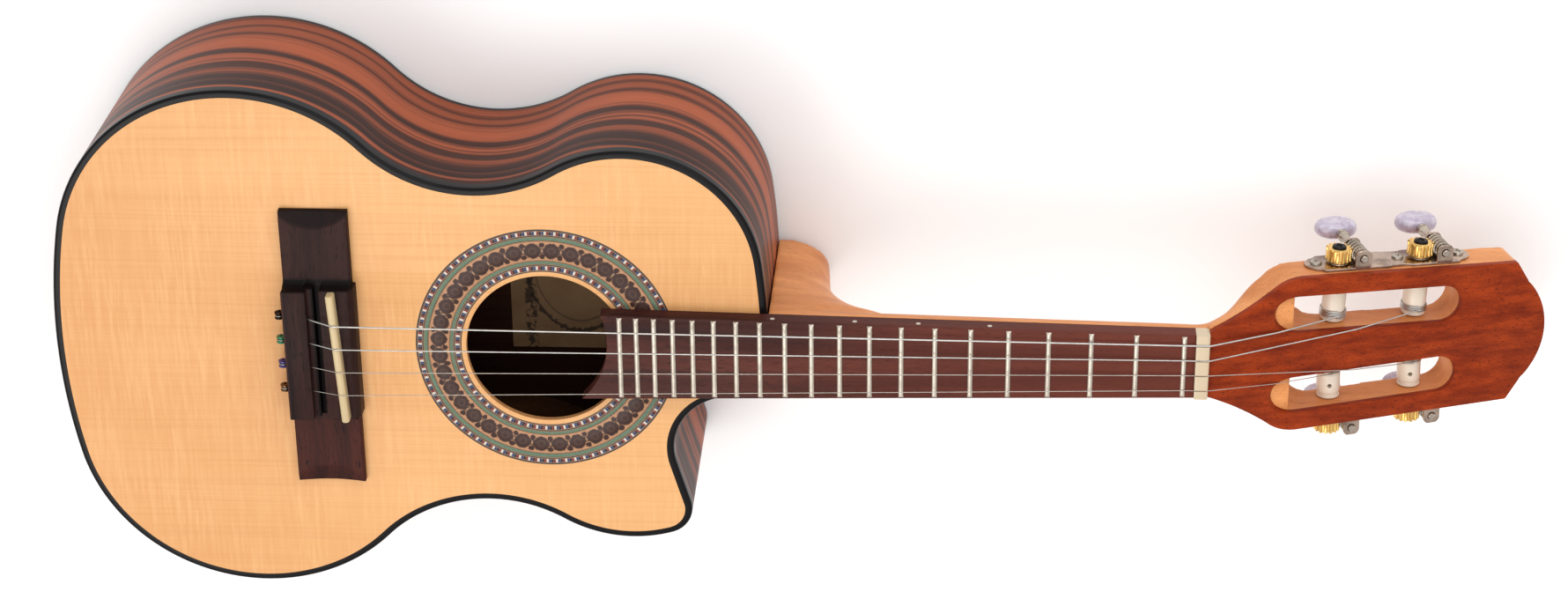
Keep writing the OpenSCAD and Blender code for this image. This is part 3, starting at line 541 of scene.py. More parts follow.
def bridge_wood():
    """Dark rosewood, redder on the treble wing, with painted shade: black in the cove beside the block on the
    bass side, darker in the wing scoops and near black in the string groove; the block's tail face is painted
    lighter.
    """
    g = Graph("bridge_rosewood", coat=0.03, coat_rough=0.2, ior=1.3)
    x, y, _ = g.separate(g.pos)
    warp = g.noise(g.mapping(g.pos, (16, 40, 40)), 1, 2, out="Color")
    vec = g.mix(0.004, g.pos, warp)
    streaks = g.noise(g.mapping(vec, (190, 9, 190)), 1, 3, 0.55)
    fibres = g.noise(g.mapping(vec, (1500, 60, 1500)), 1, 3, 0.6)
    holes = g.noise(g.mapping(vec, (1500, 190, 1500), (0.3, 0.1, 0)), 1, 1, 0.5)
    base = g.mix(g.ramp(streaks, [(0.3, 0.0), (0.7, 1.0)]), "#1e1211", "#38211d")
    red = g.ramp(y * -14.0, [(0.4, 0.0), (0.46, 0.75)])
    base = g.mix(red * g.ramp(streaks, [(0.3, 0.25), (0.7, 1.0)]), base, "#4c2017")
    base = g.tint(base, fibres, 0.45, 0.8, 0.5, "#201413")
    base = g.tint(base, holes, 0.62, 0.7, 0.7, "#120b0b")
    # painted shade: black in the cove beside the block on the bass side
    cove_shade = abs(y - 0.0302)
    base = g.mix(g.ramp(cove_shade * 100, [(0.08, 0.96), (0.24, 0.0)], True), base, "#0c0808")
    # painted shade: the wing scoops darkened, much more on the bass side
    scoop_shade = g.ramp(g.hypot(x + 0.009, abs(y) - 0.074) * 10, [(0.19, 1.0), (0.208, 0.0)], True)
    bass = g.ramp(y * 10, [(0.4, 0.15), (0.5, 0.8)])
    base = g.mix(scoop_shade * bass, base, "#110b0b")
    # painted light: the block's tail face made lighter brown
    tail_face_light = g.ramp(x * -100.0 - 1.9, [(0.25, 0.0), (0.36, 0.55)])
    base = g.mix(tail_face_light * g.ramp(abs(y) * 10, [(0.28, 1.0), (0.295, 0.0)]), base, "#5c3e34")
    # painted shade: near black in the string groove across the block
    trough = abs(x + 0.0092)
    in_block = g.ramp(abs(y) * 10, [(0.288, 0.9), (0.29, 0.0)])
    base = g.mix(in_block * g.ramp(trough * 100, [(0.16, 1.0), (0.2, 0.0)]), base, "#0a0707")
    g.bump(fibres - holes * 0.5, 0.1, 0.0001)
    return g.set(Base_Color=base, Roughness=0.42 + fibres * 0.16, Specular_IOR_Level=0.2)


def metal(name, colour, rough=0.28, wear=0.12, tint=None):
    """Brushed and worn metal with clouds of a second tint; on the tuner nickel the dark clouds are painted
    reflections.
    """
    g = Graph(name, metallic=1.0)
    fine = g.noise(g.mapping(g.pos, (900, 900, 240)), 1, 3, 0.6)
    cloud = g.noise(g.pos, 160, 3, 0.6)
    darker = tint or tuple(c * 0.62 for c in srgb(colour))
    base = g.tint(colour, cloud, 0.42, 0.75, 0.7, darker)
    g.bump(fine, 0.02, 0.00004)
    level = rough - wear / 2 + (fine + cloud) * wear
    return g.set(Base_Color=base, Roughness=level)


def plastic(name, colour, rough=0.25, coat=0.4, spots=0.06, glow=0.0, ior=1.5):
    """Smooth moulded or polished stuff, a little cloudy; glow is its inner scatter."""
    g = Graph(name, coat=coat, coat_rough=0.08, ior=ior)
    cloud = g.noise(g.pos, 120, 3, 0.6)
    fine = g.noise(g.pos, 1500, 2, 0.5)
    base = g.mix(cloud * (spots * 4), colour, tuple(c * 0.72 for c in srgb(colour)))
    g.bump(fine, 0.03, 0.00005)
    g.set(Subsurface_Weight=glow, Subsurface_Radius=(0.002, 0.002, 0.002), Subsurface_Scale=1.0)
    return g.set(Base_Color=base, Roughness=rough + fine * 0.1)


def pearloid():
    """Swirled lavender pearl plastic."""
    g = Graph("pearloid_lavender", coat=0.5, coat_rough=0.08)
    swirl = g.noise(g.pos, 150, 4, 0.6, 2.6)
    flakes = g.voronoi(g.mix(0.006, g.pos, g.noise(g.pos, 260, 2, out="Color")), 240)
    base = g.ramp(swirl, [(0.3, "#9e92a6"), (0.5, "#b2a7b8"), (0.72, "#ccc4d0")])
    base = g.mix(g.ramp(flakes, [(0.0, 0.3), (0.6, 0.0)]), base, "#a69bb2")
    g.bump(swirl, 0.04, 0.0001)
    return g.set(Base_Color=base, Roughness=0.2 + flakes * 0.12, Metallic=0.08)


def rosette_material():
    """Rings of inlay: fine lines, a dashed mosaic, green bands and a wreath of dark lobes on tan."""
    g = Graph("rosette_inlay", coat=0.04, coat_rough=0.16, ior=1.3)
    x, y, _ = g.separate(g.pos)
    dx = x - HOLE_X * MM
    radius = g.hypot(dx, y) * 1000
    turn = g.math("ARCTAN2", y, dx) / (2 * pi)

    def between(value, a, b, soft=0.12):
        up = g.math("SMOOTH_MIN", 1.0, g.math("MAXIMUM", (value - (a - soft)) / (2 * soft), 0.0), 0.01)
        down = g.math("MINIMUM", 1.0, g.math("MAXIMUM", (b + soft - value) / (2 * soft), 0.0))
        return up * down

    def cells(count):
        return g.math("FRACT", turn * count + 1000.0)

    def dashes(count):
        part = cells(count)
        colour = g.mix(between(part, 0.0, 0.26, 0.02), "#c4bcac", "#221e22")
        colour = g.mix(between(part, 0.26, 0.5, 0.02), colour, "#782826")
        return g.mix(between(part, 0.74, 1.0, 0.02), colour, "#2c3860")

    colour = g.ramp(g.noise(g.pos, 800, 2), [(0.3, "#54463e"), (0.7, "#705e50")])
    for a, b in ((52.6, 53.5), (50.2, 50.7), (37.4, 37.9), (34.5, 35.1)):
        colour = g.mix(between(radius, a, b), colour, "#423a38")
    colour = g.mix(between(radius, 50.9, 52.4), colour, dashes(84))
    colour = g.mix(between(radius, 35.5, 37.1), colour, dashes(60))
    green = g.mix(g.noise(g.pos, 900, 2), "#486250", "#647a62")
    for a, b in ((48.6, 49.9), (38.2, 39.3)):
        colour = g.mix(between(radius, a, b), colour, green)
    ground = g.mix(g.noise(g.pos, 1400, 2), "#9e7052", "#bc8e6a")
    colour = g.mix(between(radius, 39.7, 48.1), colour, ground)
    for a in (39.5, 48.3):
        colour = g.mix(between(radius, a - 0.2, a + 0.2), colour, "#322c2a")
    # the wreath: round dark lobes joined in a chain, with a bud above and below and faint eyes
    cell = cells(36) - 0.5
    arc_mm = cell * (2 * pi * 43.9 / 36)
    lift = radius - 43.9
    fuzz = (g.noise(g.pos, 900, 3, 0.7) - 0.5) * 1.5
    lobe = g.hypot(arc_mm, lift) + fuzz
    side = 2 * pi * 43.9 / 72 - abs(arc_mm)
    bud_lift = abs(lift) - 2.45
    bud = g.hypot(side, bud_lift) + fuzz
    dark = g.mix(g.noise(g.pos, 1600, 2), "#261816", "#462c25")
    stem = abs(lift) + fuzz * 0.6
    colour = g.mix(between(stem, -3.0, 1.25, 0.2), colour, dark)
    colour = g.mix(between(lobe, -3.0, 3.35, 0.2), colour, dark)
    colour = g.mix(between(bud, -3.0, 1.2, 0.2), colour, dark)
    colour = g.mix(between(lobe, 1.2, 1.6, 0.25) * 0.3, colour, "#785644")
    colour = g.mix(between(side, -1.0, 0.35, 0.15) * between(stem, -3.0, 0.8, 0.2), colour, "#967458")
    return g.set(Base_Color=colour, Roughness=0.34 + g.noise(g.pos, 600, 2) * 0.1)


def label_material():
    """Old cream paper with a dark oval frame, a thin oval line and a leafy column."""
    g = Graph("label_paper", roughness=0.85)
    grain = g.noise(g.pos, 900, 4, 0.7)
    blot = g.noise(g.pos, 60, 3)
    base = g.ramp(blot, [(0.3, "#92704e"), (0.7, "#a68460")])
    base = g.tint(base, grain, 0.4, 0.8, 0.25, "#765638")
    x, y, _ = g.separate(g.pos)
    u = (x - 0.087) / 0.026
    v = y / 0.036
    oval = g.hypot(u, v)
    wreath = g.noise(g.pos, 420, 3, 0.6)
    ring = oval + wreath * 0.16
    base = g.mix(g.ramp(ring, [(0.93, 0.0), (0.95, 0.9), (1.05, 0.9), (1.07, 0.0)]), base, "#3e3026")
    base = g.mix(g.ramp(oval, [(0.74, 0.0), (0.745, 0.7), (0.765, 0.7), (0.77, 0.0)]), base, "#604c3a")
    leaves = g.noise(g.mapping(g.pos, (330, 240, 1)), 1, 4, 0.7, 1.2)
    column = g.ramp(abs(x - 0.0655) * 100, [(0.2, 1.0), (0.3, 0.0)])
    base = g.mix(column * g.ramp(leaves, [(0.47, 0.0), (0.52, 0.85)]), base, "#2c221c")
    g.bump(grain, 0.2, 0.0001)
    return g.set(Base_Color=base, Roughness=0.9)


def wound_wire():
    """Wire wound round a core."""
    g = Graph("wound_wire", metallic=1.0)
    x, _, _ = g.separate(g.pos)
    turns = g.math("SINE", x * (2 * pi / 0.00024))
    cloud = g.noise(g.pos, 300, 2)
    g.bump(turns, 0.25, 0.00005)
    return g.set(Base_Color=g.mix(cloud, "#ceccc8", "#a8a5a0"), Roughness=0.22 + cloud * 0.18)


SPRUCE = spruce()
RIB = striped_rib()
BACK = lacquered_wood("back_wood", "#964a30", "#3e2621", "#241614", (3, 150, 150), 0.34, 0.3, 0.6, 0.4)
BINDING = plastic("binding_black", "#090607", 0.26, 0.1, 0.1, ior=1.22)
ROSEWOOD = bridge_wood()
BOARD = lacquered_wood("board_rosewood", "#5e3128", "#2a1716", "#160c0b", (14, 380, 380), 0.46, 0.04,
    0.55, 0.75, (0.15, 0.34, "#783a2c", 0.5))
CEDAR = lacquered_wood("neck_cedar", "#e0985e", "#ba703e", "#8e502a", (10, 220, 220), 0.4, 0.16, 0.42, 0.45)
VENEER = lacquered_wood("head_veneer_wood", "#9e390e", "#6a1e05", "#401003", (7, 700, 700), 0.42, 0.12,
    0.62, 0.75)
INNER = lacquered_wood("inner_wood", "#785436", "#543622", "#3c2416", (12, 300, 300), 0.85, 0.0, 0.4, 0.3)
# the inner back's wood colours are darkened as painted shade inside the body
INNER_BACK_SHADED = lacquered_wood("inner_back_wood_shaded", "#42261c", "#241511", "#140c0a", (4, 160, 160), 0.8, 0.0,
    0.5, 0.4)
BONE = plastic("bone", "#c6b086", 0.35, 0.15, 0.08, 0.1)
NUT_BONE = plastic("nut_bone", "#c8b496", 0.35, 0.15, 0.06, 0.1)
FRET_METAL = metal("fret_nickel_silver", "#d0c5b6", 0.42, 0.04)
# the nickel's dark cloud tint is painted reflection
NICKEL = metal("tuner_nickel", "#b6a090", 0.16, 0.16, "#463932")
STEEL = metal("tuner_steel", "#b4a89a", 0.2, 0.14, "#685c54")
SCREW = metal("screw_steel", "#b2a89c", 0.3, 0.14)
BRASS = metal("gear_brass", "#e4bc72", 0.28, 0.1, "#c4964e")
DARK_STEEL = metal("gear_screw_dark", "#282322", 0.34, 0.12)
PEARL = pearloid()
ROLLER = plastic("roller_white", "#ded0be", 0.35, 0.2, 0.08, 0.1)
DOT = plastic("side_dot_pearl", "#bab0a0", 0.3, 0.2)
WIRE = metal("plain_wire", "#bab2a8", 0.36, 0.06)
WOUND = wound_wire()
LABEL = label_material()
ROSETTE = rosette_material()


def materials_on(node, material):
    """Gives a CAD node that stays visible a procedural material."""
    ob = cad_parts[node]
    if not ob.material_slots:
        ob.data.materials.append(material)
    for s in ob.material_slots:
        s.link = "OBJECT"
        s.material = material


# ---- the body
def body_ring(profile):
    """A band round the body from (inset, z) points."""
    return sweep([[(x, y, z) for x, y in body_outline(inset)] for inset, z in profile])


def build_body():
    """Bindings, soundboard, back, rosette, ribs, lining and label."""
    edge = 1.3
    round_edge = [(edge - edge * cos(a), TOP_Z - edge + edge * sin(a)) for a in np.linspace(0, pi / 2, 7)]
    profile = [(0.0, TOP_Z - 5)] + [(float(i), float(z)) for i, z in round_edge] + [(2.9, TOP_Z),
        (3.0, TOP_Z - 0.12), (3.0, TOP_Z - 5)]
    add("binding_top", *body_ring(profile), BINDING, "top_binding", "binding")
    round_low = [(1 - sin(a), 1 - cos(a)) for a in np.linspace(0, pi / 2, 6)]
    profile = [(3.0, 0.0)] + [(float(i), float(z)) for i, z in round_low] + [(0.0, 3.0), (3.0, 3.0)]
    add("binding_back", *body_ring(profile), BINDING, "back_binding", "binding")

    hole = circle(HOLE_X, 0, HOLE_R, 160, True)
    top = slab([body_outline(3.0), hole], [(0, TOP_Z - 2.5), (0, TOP_Z - 1.0)] + [(0, TOP_Z - 0.4),
        (0.12, TOP_Z - 0.1), (0.4, TOP_Z)],
               lambda i, inset, z: move_left(hole, inset) if i else body_outline(3.0))
    add("soundboard_plate", *top, SPRUCE, "soundboard", "spruce")
    back = slab([body_outline(3.0)], [(0, 0.0), (0, 2.5)])
    add("back_board", *back, BACK, "back_plate", "back_wood")

    # the inlay stands 0.03 mm proud, with a hairline groove at each ring's edge
    cuts = [ROSETTE_IN, 35.2, 37.3, 38.0, 39.5, 48.3, 50.1, 50.8, 52.5, ROSETTE_R]
    profile = [(ROSETTE_IN, TOP_Z - 0.3)]
    for a, b in zip(cuts, cuts[1:]):
        profile += [(a + 0.02, TOP_Z - 0.01), (a + 0.09, TOP_Z + 0.03), (b - 0.09, TOP_Z + 0.03),
            (b - 0.02, TOP_Z - 0.01)]
    profile.append((ROSETTE_R, TOP_Z - 0.3))
    ring = revolve(profile, 180)
    add("rosette_rings", *transform(ring, move(HOLE_X, 0, 0)), ROSETTE, "rosette", "inlay")

    outer, inner = body_outline(0.0), body_outline(2.0)
    n = len(outer)
    tail = min(range(n), key=lambda i: outer[i][0] * 10 + abs(outer[i][1]))
    neck = min(range(n), key=lambda i: abs(outer[i][1]) + (0 if outer[i][0] > 100 else 1000))
    spans = {"rib_treble": ("side_treble", tail, neck), "rib_bass": ("side_bass", neck, tail)}
    for name, (node, start, stop) in spans.items():
        idx = [(start + i) % n for i in range((stop - start) % n + 1)]
        walk, lengths = 0.0, [0.0]
        for a, b in zip(idx, idx[1:]):
            walk += dist(outer[a], outer[b])
            lengths.append(walk)
        if name == "rib_bass":
            lengths = [walk - v for v in lengths]
        levels = [3.0, 3.3] + [3.3 + 76.4 * i / 8 for i in range(1, 8)] + [79.7, 80.0]
        rings, grain = [], []
        for z in levels:
            rings.append([(*outer[i], z) for i in idx])
            grain += [(v * MM, 0.0, z * MM) for v in lengths]
        for z in reversed(levels):
            rings.append([(*inner[i], z) for i in idx])
            grain += [(v * MM, 0.31, z * MM) for v in lengths]
        verts, faces = sweep(rings, closed=False)
        ob = add(name, verts, faces, RIB, node, "ribs", angle=50)
        attribute = ob.data.attributes.new("grain", "FLOAT_VECTOR", "POINT")
        attribute.data.foreach_set("vector", np.array(grain, np.float32).ravel())

    for node in ("top_lining", "back_lining", "neck_block", "tail_block", "top_braces", "bridge_plate",
        "back_braces"):
        materials_on(node, INNER)

    # the inside face of the back, dark wood seen through the soundhole, darkened further as painted shade
    # inside the body
    lining = slab([body_outline(2.2)], [(0, 2.5), (0, 2.56)])
    add("back_inner_face", *lining, INNER_BACK_SHADED, slot="back_wood")

    (x0, y0, z0), (x1, y1, _) = (v * 1000 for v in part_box("label"))
    xs, ys = np.linspace(x0, x1, 25), np.linspace(y0, y1, 25)

    def curl(x, y):
        edge_gap = min(x - x0, x1 - x, y - y0, y1 - y)
        return z0 + 0.3 + 0.25 * max(0.0, 1 - edge_gap / 5) ** 2 + 0.04 * sin(x * 0.5) * cos(y * 0.4)

    add("label_paper_sheet", *height_block(xs, ys, curl, z0 + 0.1), LABEL, "label", "paper")


# ---- the bridge
def spread(k, width):
    """Place of string k across a row of strings."""
    return (k - 2.5) * width / 3


def build_bridge():
    """Bridge block and wings, saddle and ball ends."""
    def wing_height(x, y):
        bass, y = y > 0, abs(y)
        open_groove = -13.2 < x < -6.8
        t = max(0.0, 1 - (y - 29.0) / 2.4)
        z = 4.0 + (0.0 if open_groove else (3.2 if bass else 4.6) * t ** 2.2)
        gap = 20.7 - hypot(x + 9, y - 74)
        if gap > 0:
            z -= min(2.5, 0.3 * gap)
        rim = min(x + 22.5, 5.2 - x, 61.25 - y)
        z -= 0.5 * max(0.0, 1 - rim / 0.5) ** 2
        return TOP_Z + max(z, 1.2)

    def spaced(a, b, n, edge):
        return [a + v for v in edge] + list(np.linspace(a + edge[-1], b - edge[-1],
            n))[1:-1] + [b - v for v in reversed(edge)]

    xs = spaced(-22.5, 5.2, 40, [0, 0.08, 0.2, 0.36, 0.55])
    ys = [28.9, 29.1, 29.35, 29.7, 30.1, 30.6, 31.4] + list(np.linspace(32.2, 60.4, 46)) + [60.7, 60.9,
        61.05, 61.17, 61.25]
    wings = []
    for sign in (1, -1):
        rows = ys if sign > 0 else [-v for v in reversed(ys)]
        wings.append(height_block(xs, rows, wing_height, TOP_Z))
    profile = [(-22.5, 0), (-22.5, 11), (-12.6, 11), (-12.6, 7.6), (-10, 7.6), (-10, 3.5), (-7.4, 3.5),
        (-7.4, 9.2),
               (4.4, 9.2), (6.3, 6.5), (6.5, 0)]
    loop = round_corners(profile, 0.45, 3)[::-1]
    half = 29.0
    shell = slab([loop], [(0.5, -half), (0.15, -half + 0.15), (0, -half + 0.5), (0, half - 0.5),
        (0.15, half - 0.15), (0.5, half)])
    turn = Matrix(((1, 0, 0, 0), (0, 0, 1, 0), (0, 1, 0, TOP_Z), (0, 0, 0, 1)))
    block = add("bridge_block", *transform(shell, turn), ROSEWOOD, "bridge", "rosewood", angle=28)
    cutters = []
    for k in range(1, 5):
        a = Vector((-25, spread(k, SADDLE_SPREAD) * 1.05, TOP_Z + TIE_Z - 0.8))
        b = Vector((-10.6, spread(k, SADDLE_SPREAD) * 1.04, TOP_Z + 9.0 + 0.55))
        cutters.append(tube([a, b], 0.9, 16))
    holes = add("bridge_holes", *merge(cutters), ROSEWOOD)
    saddle_turn = move(-0.8, 0, 0) @ turned(SADDLE_TILT, "Z")
    slot = transform(slab([[(-1.6, -28.6), (1.6, -28.6), (1.6, 28.6), (-1.6, 28.6)]],
        [(0, TOP_Z + 5.5), (0, TOP_Z + 12)]), saddle_turn)
    carve(block, [holes, add("bridge_slot", *slot, ROSEWOOD)])
    add("bridge_wings", *merge(wings), ROSEWOOD, "bridge", "rosewood", angle=40)

    crest = [(1.6, 5.5), (1.6, SADDLE_TOP - 1.4)]
    crest += [(1.6 * cos(a), SADDLE_TOP - 1.4 + 1.4 * sin(a)) for a in np.linspace(0.1, pi - 0.1, 11)]
    crest += [(-1.6, SADDLE_TOP - 1.4), (-1.6, 5.5)]
    shell = slab([crest], [(0.7, -28.5), (0.2, -28.3), (0, -27.9), (0, 27.9), (0.2, 28.3), (0.7, 28.5)])
    add("saddle_bone", *transform(transform(shell, turn), saddle_turn), BONE, "saddle", "bone", angle=40)

    colours = {1: "#785c46", 2: "#2e266c", 3: "#16704a", 4: "#2e2622"}
    for k in range(1, 5):
        material = plastic(f"ball_paint_{k}", colours[k], 0.25, 0.5) if k in (2,
            3) else metal(f"ball_metal_{k}", colours[k], 0.25)
        groove = [(0.62, -1.6), (1.5, -1.6), (1.95, -1.35), (2.0, -0.95), (1.45, -0.45), (1.45, 0.45),
            (2.0, 0.95), (1.95, 1.35), (1.5, 1.6), (0.62, 1.6)]
        centre = Vector((BALL_X, spread(k, SADDLE_SPREAD) * 1.05, TOP_Z + TIE_Z))
        ball = transform(revolve(groove, 32), Matrix.Translation(centre) @ turned(90, "X"))
        add(f"ball_end_{k}", *ball, material, "ball_ends", "brass", angle=40)
        loop = [centre + Vector((1.72 * cos(a), 0, 1.72 * sin(a))) for a in np.linspace(0.2, 2 * pi - 0.2,
            28)]
        add(f"ball_loop_{k}", *tube(loop, 0.22, 8), WIRE, slot="string_wire")


# ---- the fingerboard
def board_half(x):
    """Half the width of the fingerboard at x."""
    return (35.0 + (35.0 - 28.2) / SCALE * (SCALE - 2 * x)) / 2


def build_fingerboard():
    """Fingerboard, frets, side dots and nut."""
    cx, cy, r = 73.3, 6.3, 34.8

    def end_at(sign):
        x = 100.0
        for _ in range(20):
            x = cx + sqrt(r * r - (sign * board_half(x) - cy) ** 2)
        return x

    a0 = degrees(atan2(-board_half(end_at(-1)) - cy, end_at(-1) - cx))
    a1 = degrees(atan2(board_half(end_at(1)) - cy, end_at(1) - cx))
    end = arc((cx, cy), r, a0, a1, 40) + [(end_at(1), board_half(end_at(1)))]
    plan = [(NUT_X0, board_half(NUT_X0))] + end[::-1] + [(NUT_X0, -board_half(NUT_X0))]
    shell = slab([plan], rounded(TOP_Z, BOARD_Z, 0.35))
    add("fingerboard_wood", *shell, BOARD, "fingerboard", "rosewood", angle=30)

    frets = []
    for n in range(20):
        x, w = SCALE * 2 ** (-n / 12), board_half(SCALE * 2 ** (-n / 12)) - 0.7
        sections = []
        for t in (0, 0.12, 0.3, 0.55, 0.85, 1.2):
            k = sqrt(1 - (1 - t / 1.2) ** 2)
            sections.append((-w + t, max(k, 0.12)))
        sections += [(-y, k) for y, k in reversed(sections)]
        rings = []
        for y, k in sections:
            ring = [(x + 1.1 * cos(a), y, BOARD_Z + 1.0 * k * sin(a)) for a in np.linspace(0, pi, 11)]
            rings.append(ring)
        frets.append(loft(rings))
        frets.append(slab([[(x - 0.28, -w), (x + 0.28, -w), (x + 0.28, w), (x - 0.28, w)]],
                          [(0, BOARD_Z - 1.7), (0, BOARD_Z + 0.02)]))
    add("fret_wires", *merge(frets), FRET_METAL, "frets", "fret_metal", angle=35)

    dots = []
    for n in (5, 7, 9, 12):
        x = (SCALE * 2 ** (-n / 12) + SCALE * 2 ** (-(n - 1) / 12)) / 2
        y = board_half(x)
        disc = revolve([(0, -1.6), (1, -1.6), (1, -0.08), (0.94, 0.02), (0.5, 0.06), (0, 0.07)], 28)
        dots.append(transform(disc, move(x, y, TOP_Z + 4.4) @ turned(-90, "X")))
    add("side_dot_inlays", *merge(dots), DOT, "side_dots", "dot")

    half, top = board_half(NUT_X0), FRET_Z + 0.7
    ys = list(np.linspace(-half, half, 15))
    for k in range(1, 5):
        y, w = spread(k, NUT_SPREAD), DIAMETERS[k - 1] / 2 + 0.16
        ys += [y - w * 1.01, y - w, y - w * 0.7, y, y + w * 0.7, y + w, y + w * 1.01]
    ys = sorted(set(round(v, 4) for v in ys))

    def nut_top(x, y):
        z = top - 0.35 * ((y / half) ** 4)
        depth = 0.0
        for k in range(1, 5):
            w = DIAMETERS[k - 1] / 2 + 0.16
            d = abs(y - spread(k, NUT_SPREAD))
            if d <= w:
                depth = max(depth, 0.45 + sqrt(max(0.0, w * w - d * d)))
        rim = min(x - NUT_X0, NUT_X1 - x)
        z -= 0.7 * max(0.0, 1 - rim / 0.8) ** 2 * (0.4 if x < NUT_X0 + 1 else 1)
        return min(z, top - depth) if depth else z

    xs = [NUT_X0 + v for v in (0, 0.15, 0.4, 0.8, 2, 3.5, 4.7, 5.1, 5.35)] + [NUT_X1]
    add("nut_bone_piece", *height_block(xs, ys, nut_top, TOP_Z), NUT_BONE, "nut", "bone", angle=38)


# ---- the neck and head
HEAD = move(HEAD_X, 0, HEAD_Z) @ turned(HEAD_ANGLE, "Y")
MIRROR = Matrix.Diagonal((1, -1, 1, 1))


def side_matrix(side):
    """Places (along, out, depth) of one side of the head in the object."""
    m = HEAD @ move(SHOULDER_S, HEAD_W, 0) @ turned(-HEAD_TAPER, "Z")
    return m if side > 0 else MIRROR @ m


def side_y(s):
    """The head's half width at s."""
    return HEAD_W - tan(radians(HEAD_TAPER)) * (s - SHOULDER_S)


def curve(p, q, r, n):
    """Points of a quadratic curve with control point q, without its end."""
    p, q, r = Vector(p), Vector(q), Vector(r)
    return [tuple(p * (1 - t) ** 2 + q * 2 * t * (1 - t) + r * t * t) for t in (i / n for i in range(n))]


def head_outline(start):
    """The head's outline in its own plane from s = start on."""
    tip_r, notch_y = 32.0, 21.8
    notch_a = degrees(asin((notch_y - 1.2) / tip_r))
    half = curve((0, 12), (18, 18.5), (33, 29.8), 16) + curve((33, 29.8), (38, 34), (SHOULDER_S, HEAD_W), 12)
    half = [p for p in half if p[0] > start + 0.4]
    first = half[0]
    y_start = 12 + (first[1] - 12) * start / first[0]
    straight = [(SHOULDER_S + (136.8 - SHOULDER_S) * i / 6,
        side_y(SHOULDER_S + (136.8 - SHOULDER_S) * i / 6)) for i in range(6)]
    half = [(start, y_start)] + half + straight + curve((136.2, side_y(136.2)), (136.9, side_y(136.8)),
        (137.3, 30.0), 3)
    half += [(137.3, 30.0), (141.7, 22.9), (142.4, 21.6)] + arc((HEAD_L - tip_r, 0), tip_r, notch_a, 0, 18)
    outline = half + [(HEAD_L, 0)] + [(s, -y) for s, y in reversed(half)]
    return outline[::-1]


def slot_outline(side, h):
    """A string slot at height h, with its ramp at the nut end, in the head's own plane."""
    r, ramp = SLOT_W / 2, radians(49)
    mid = -SLOT_WALL - r
    near = 33.0 - SHOULDER_S + r / sin(ramp) + abs(h) / tan(ramp)
    far = 113.8 - SHOULDER_S - r
    points = []
    for a in np.linspace(90, 270, 33):
        points.append((near + r / sin(ramp) * cos(radians(a)), mid + r * sin(radians(a))))
    for a in np.linspace(-90, 90, 25):
        points.append((far + r * cos(radians(a)), mid + r * sin(radians(a))))
    t = radians(-HEAD_TAPER)
    out = []
    for u, v in points:
        x = SHOULDER_S + u * cos(t) - v * sin(t)
        y = HEAD_W + u * sin(t) + v * cos(t)
        out.append((x, y * side))
    area = sum(a[0] * b[1] - b[0] * a[1] for a, b in zip(out, out[1:] + out[:1]))
    return out if area < 0 else out[::-1]


def head_solid(h0, h1, start, edge=0.0):
    """A layer of the slotted head between two heights."""
    outer = head_outline(start)
    stages = rounded(h0, h1, edge) if edge else [(0, h) for h in np.linspace(h0, h1, 8)]

    def at(i, inset, z):
        return move_left(outer, inset) if i == 0 else move_left(slot_outline(1 if i == 1 else -1, z), inset)

    verts, faces = slab([outer, slot_outline(1, h1), slot_outline(-1, h1)], stages, at)
    out = []
    for s, y, h in verts:
        if s < start + 0.8:
            s = start + (s - start) * 1.0 - h * tan(radians(HEAD_ANGLE))
        out.append((s, y, h))
    return out, faces


def heel_length(z):
    """How far the heel reaches past the body at height z."""
    t = min(1.0, max(0.0, (z - 26) / (TOP_Z - 15.5 - 26)))
    return 21.5 + (z - 3.2) * 0.06 + (66.8 - 21.5 - 2) * (1 - sqrt(1 - t * t * 0.98))


def heel_width(z):
    """The heel's half width at height z."""
    t = (z - 3.2) / (TOP_Z - 3.2)
    return 13.5 + (board_half(JOINT_X) - 13.5) * t


def smooth_mesh(co, edges, weight, steps, factor=0.5):
    """Moves points towards the mean of their neighbours, by weight."""
    a, b = edges[:, 0], edges[:, 1]
    count = np.bincount(a, minlength=len(co)) + np.bincount(b, minlength=len(co))
    for _ in range(steps):
        total = np.zeros_like(co)
        for axis in range(3):
            total[:, axis] = np.bincount(a, co[b, axis], len(co)) + np.bincount(b, co[a, axis], len(co))
        co += (total / np.maximum(count, 1)[:, None] - co) * (factor * weight)[:, None]
    return co


def to_head(co):
    """Mesh points as (s, y, h) in the head's own plane, in mm."""
    x, z, tilt = co[:, 0] * 1000 - HEAD_X, co[:, 2] * 1000 - HEAD_Z, radians(HEAD_ANGLE)
    return x * cos(tilt) - z * sin(tilt), co[:, 1] * 1000, x * sin(tilt) + z * cos(tilt)


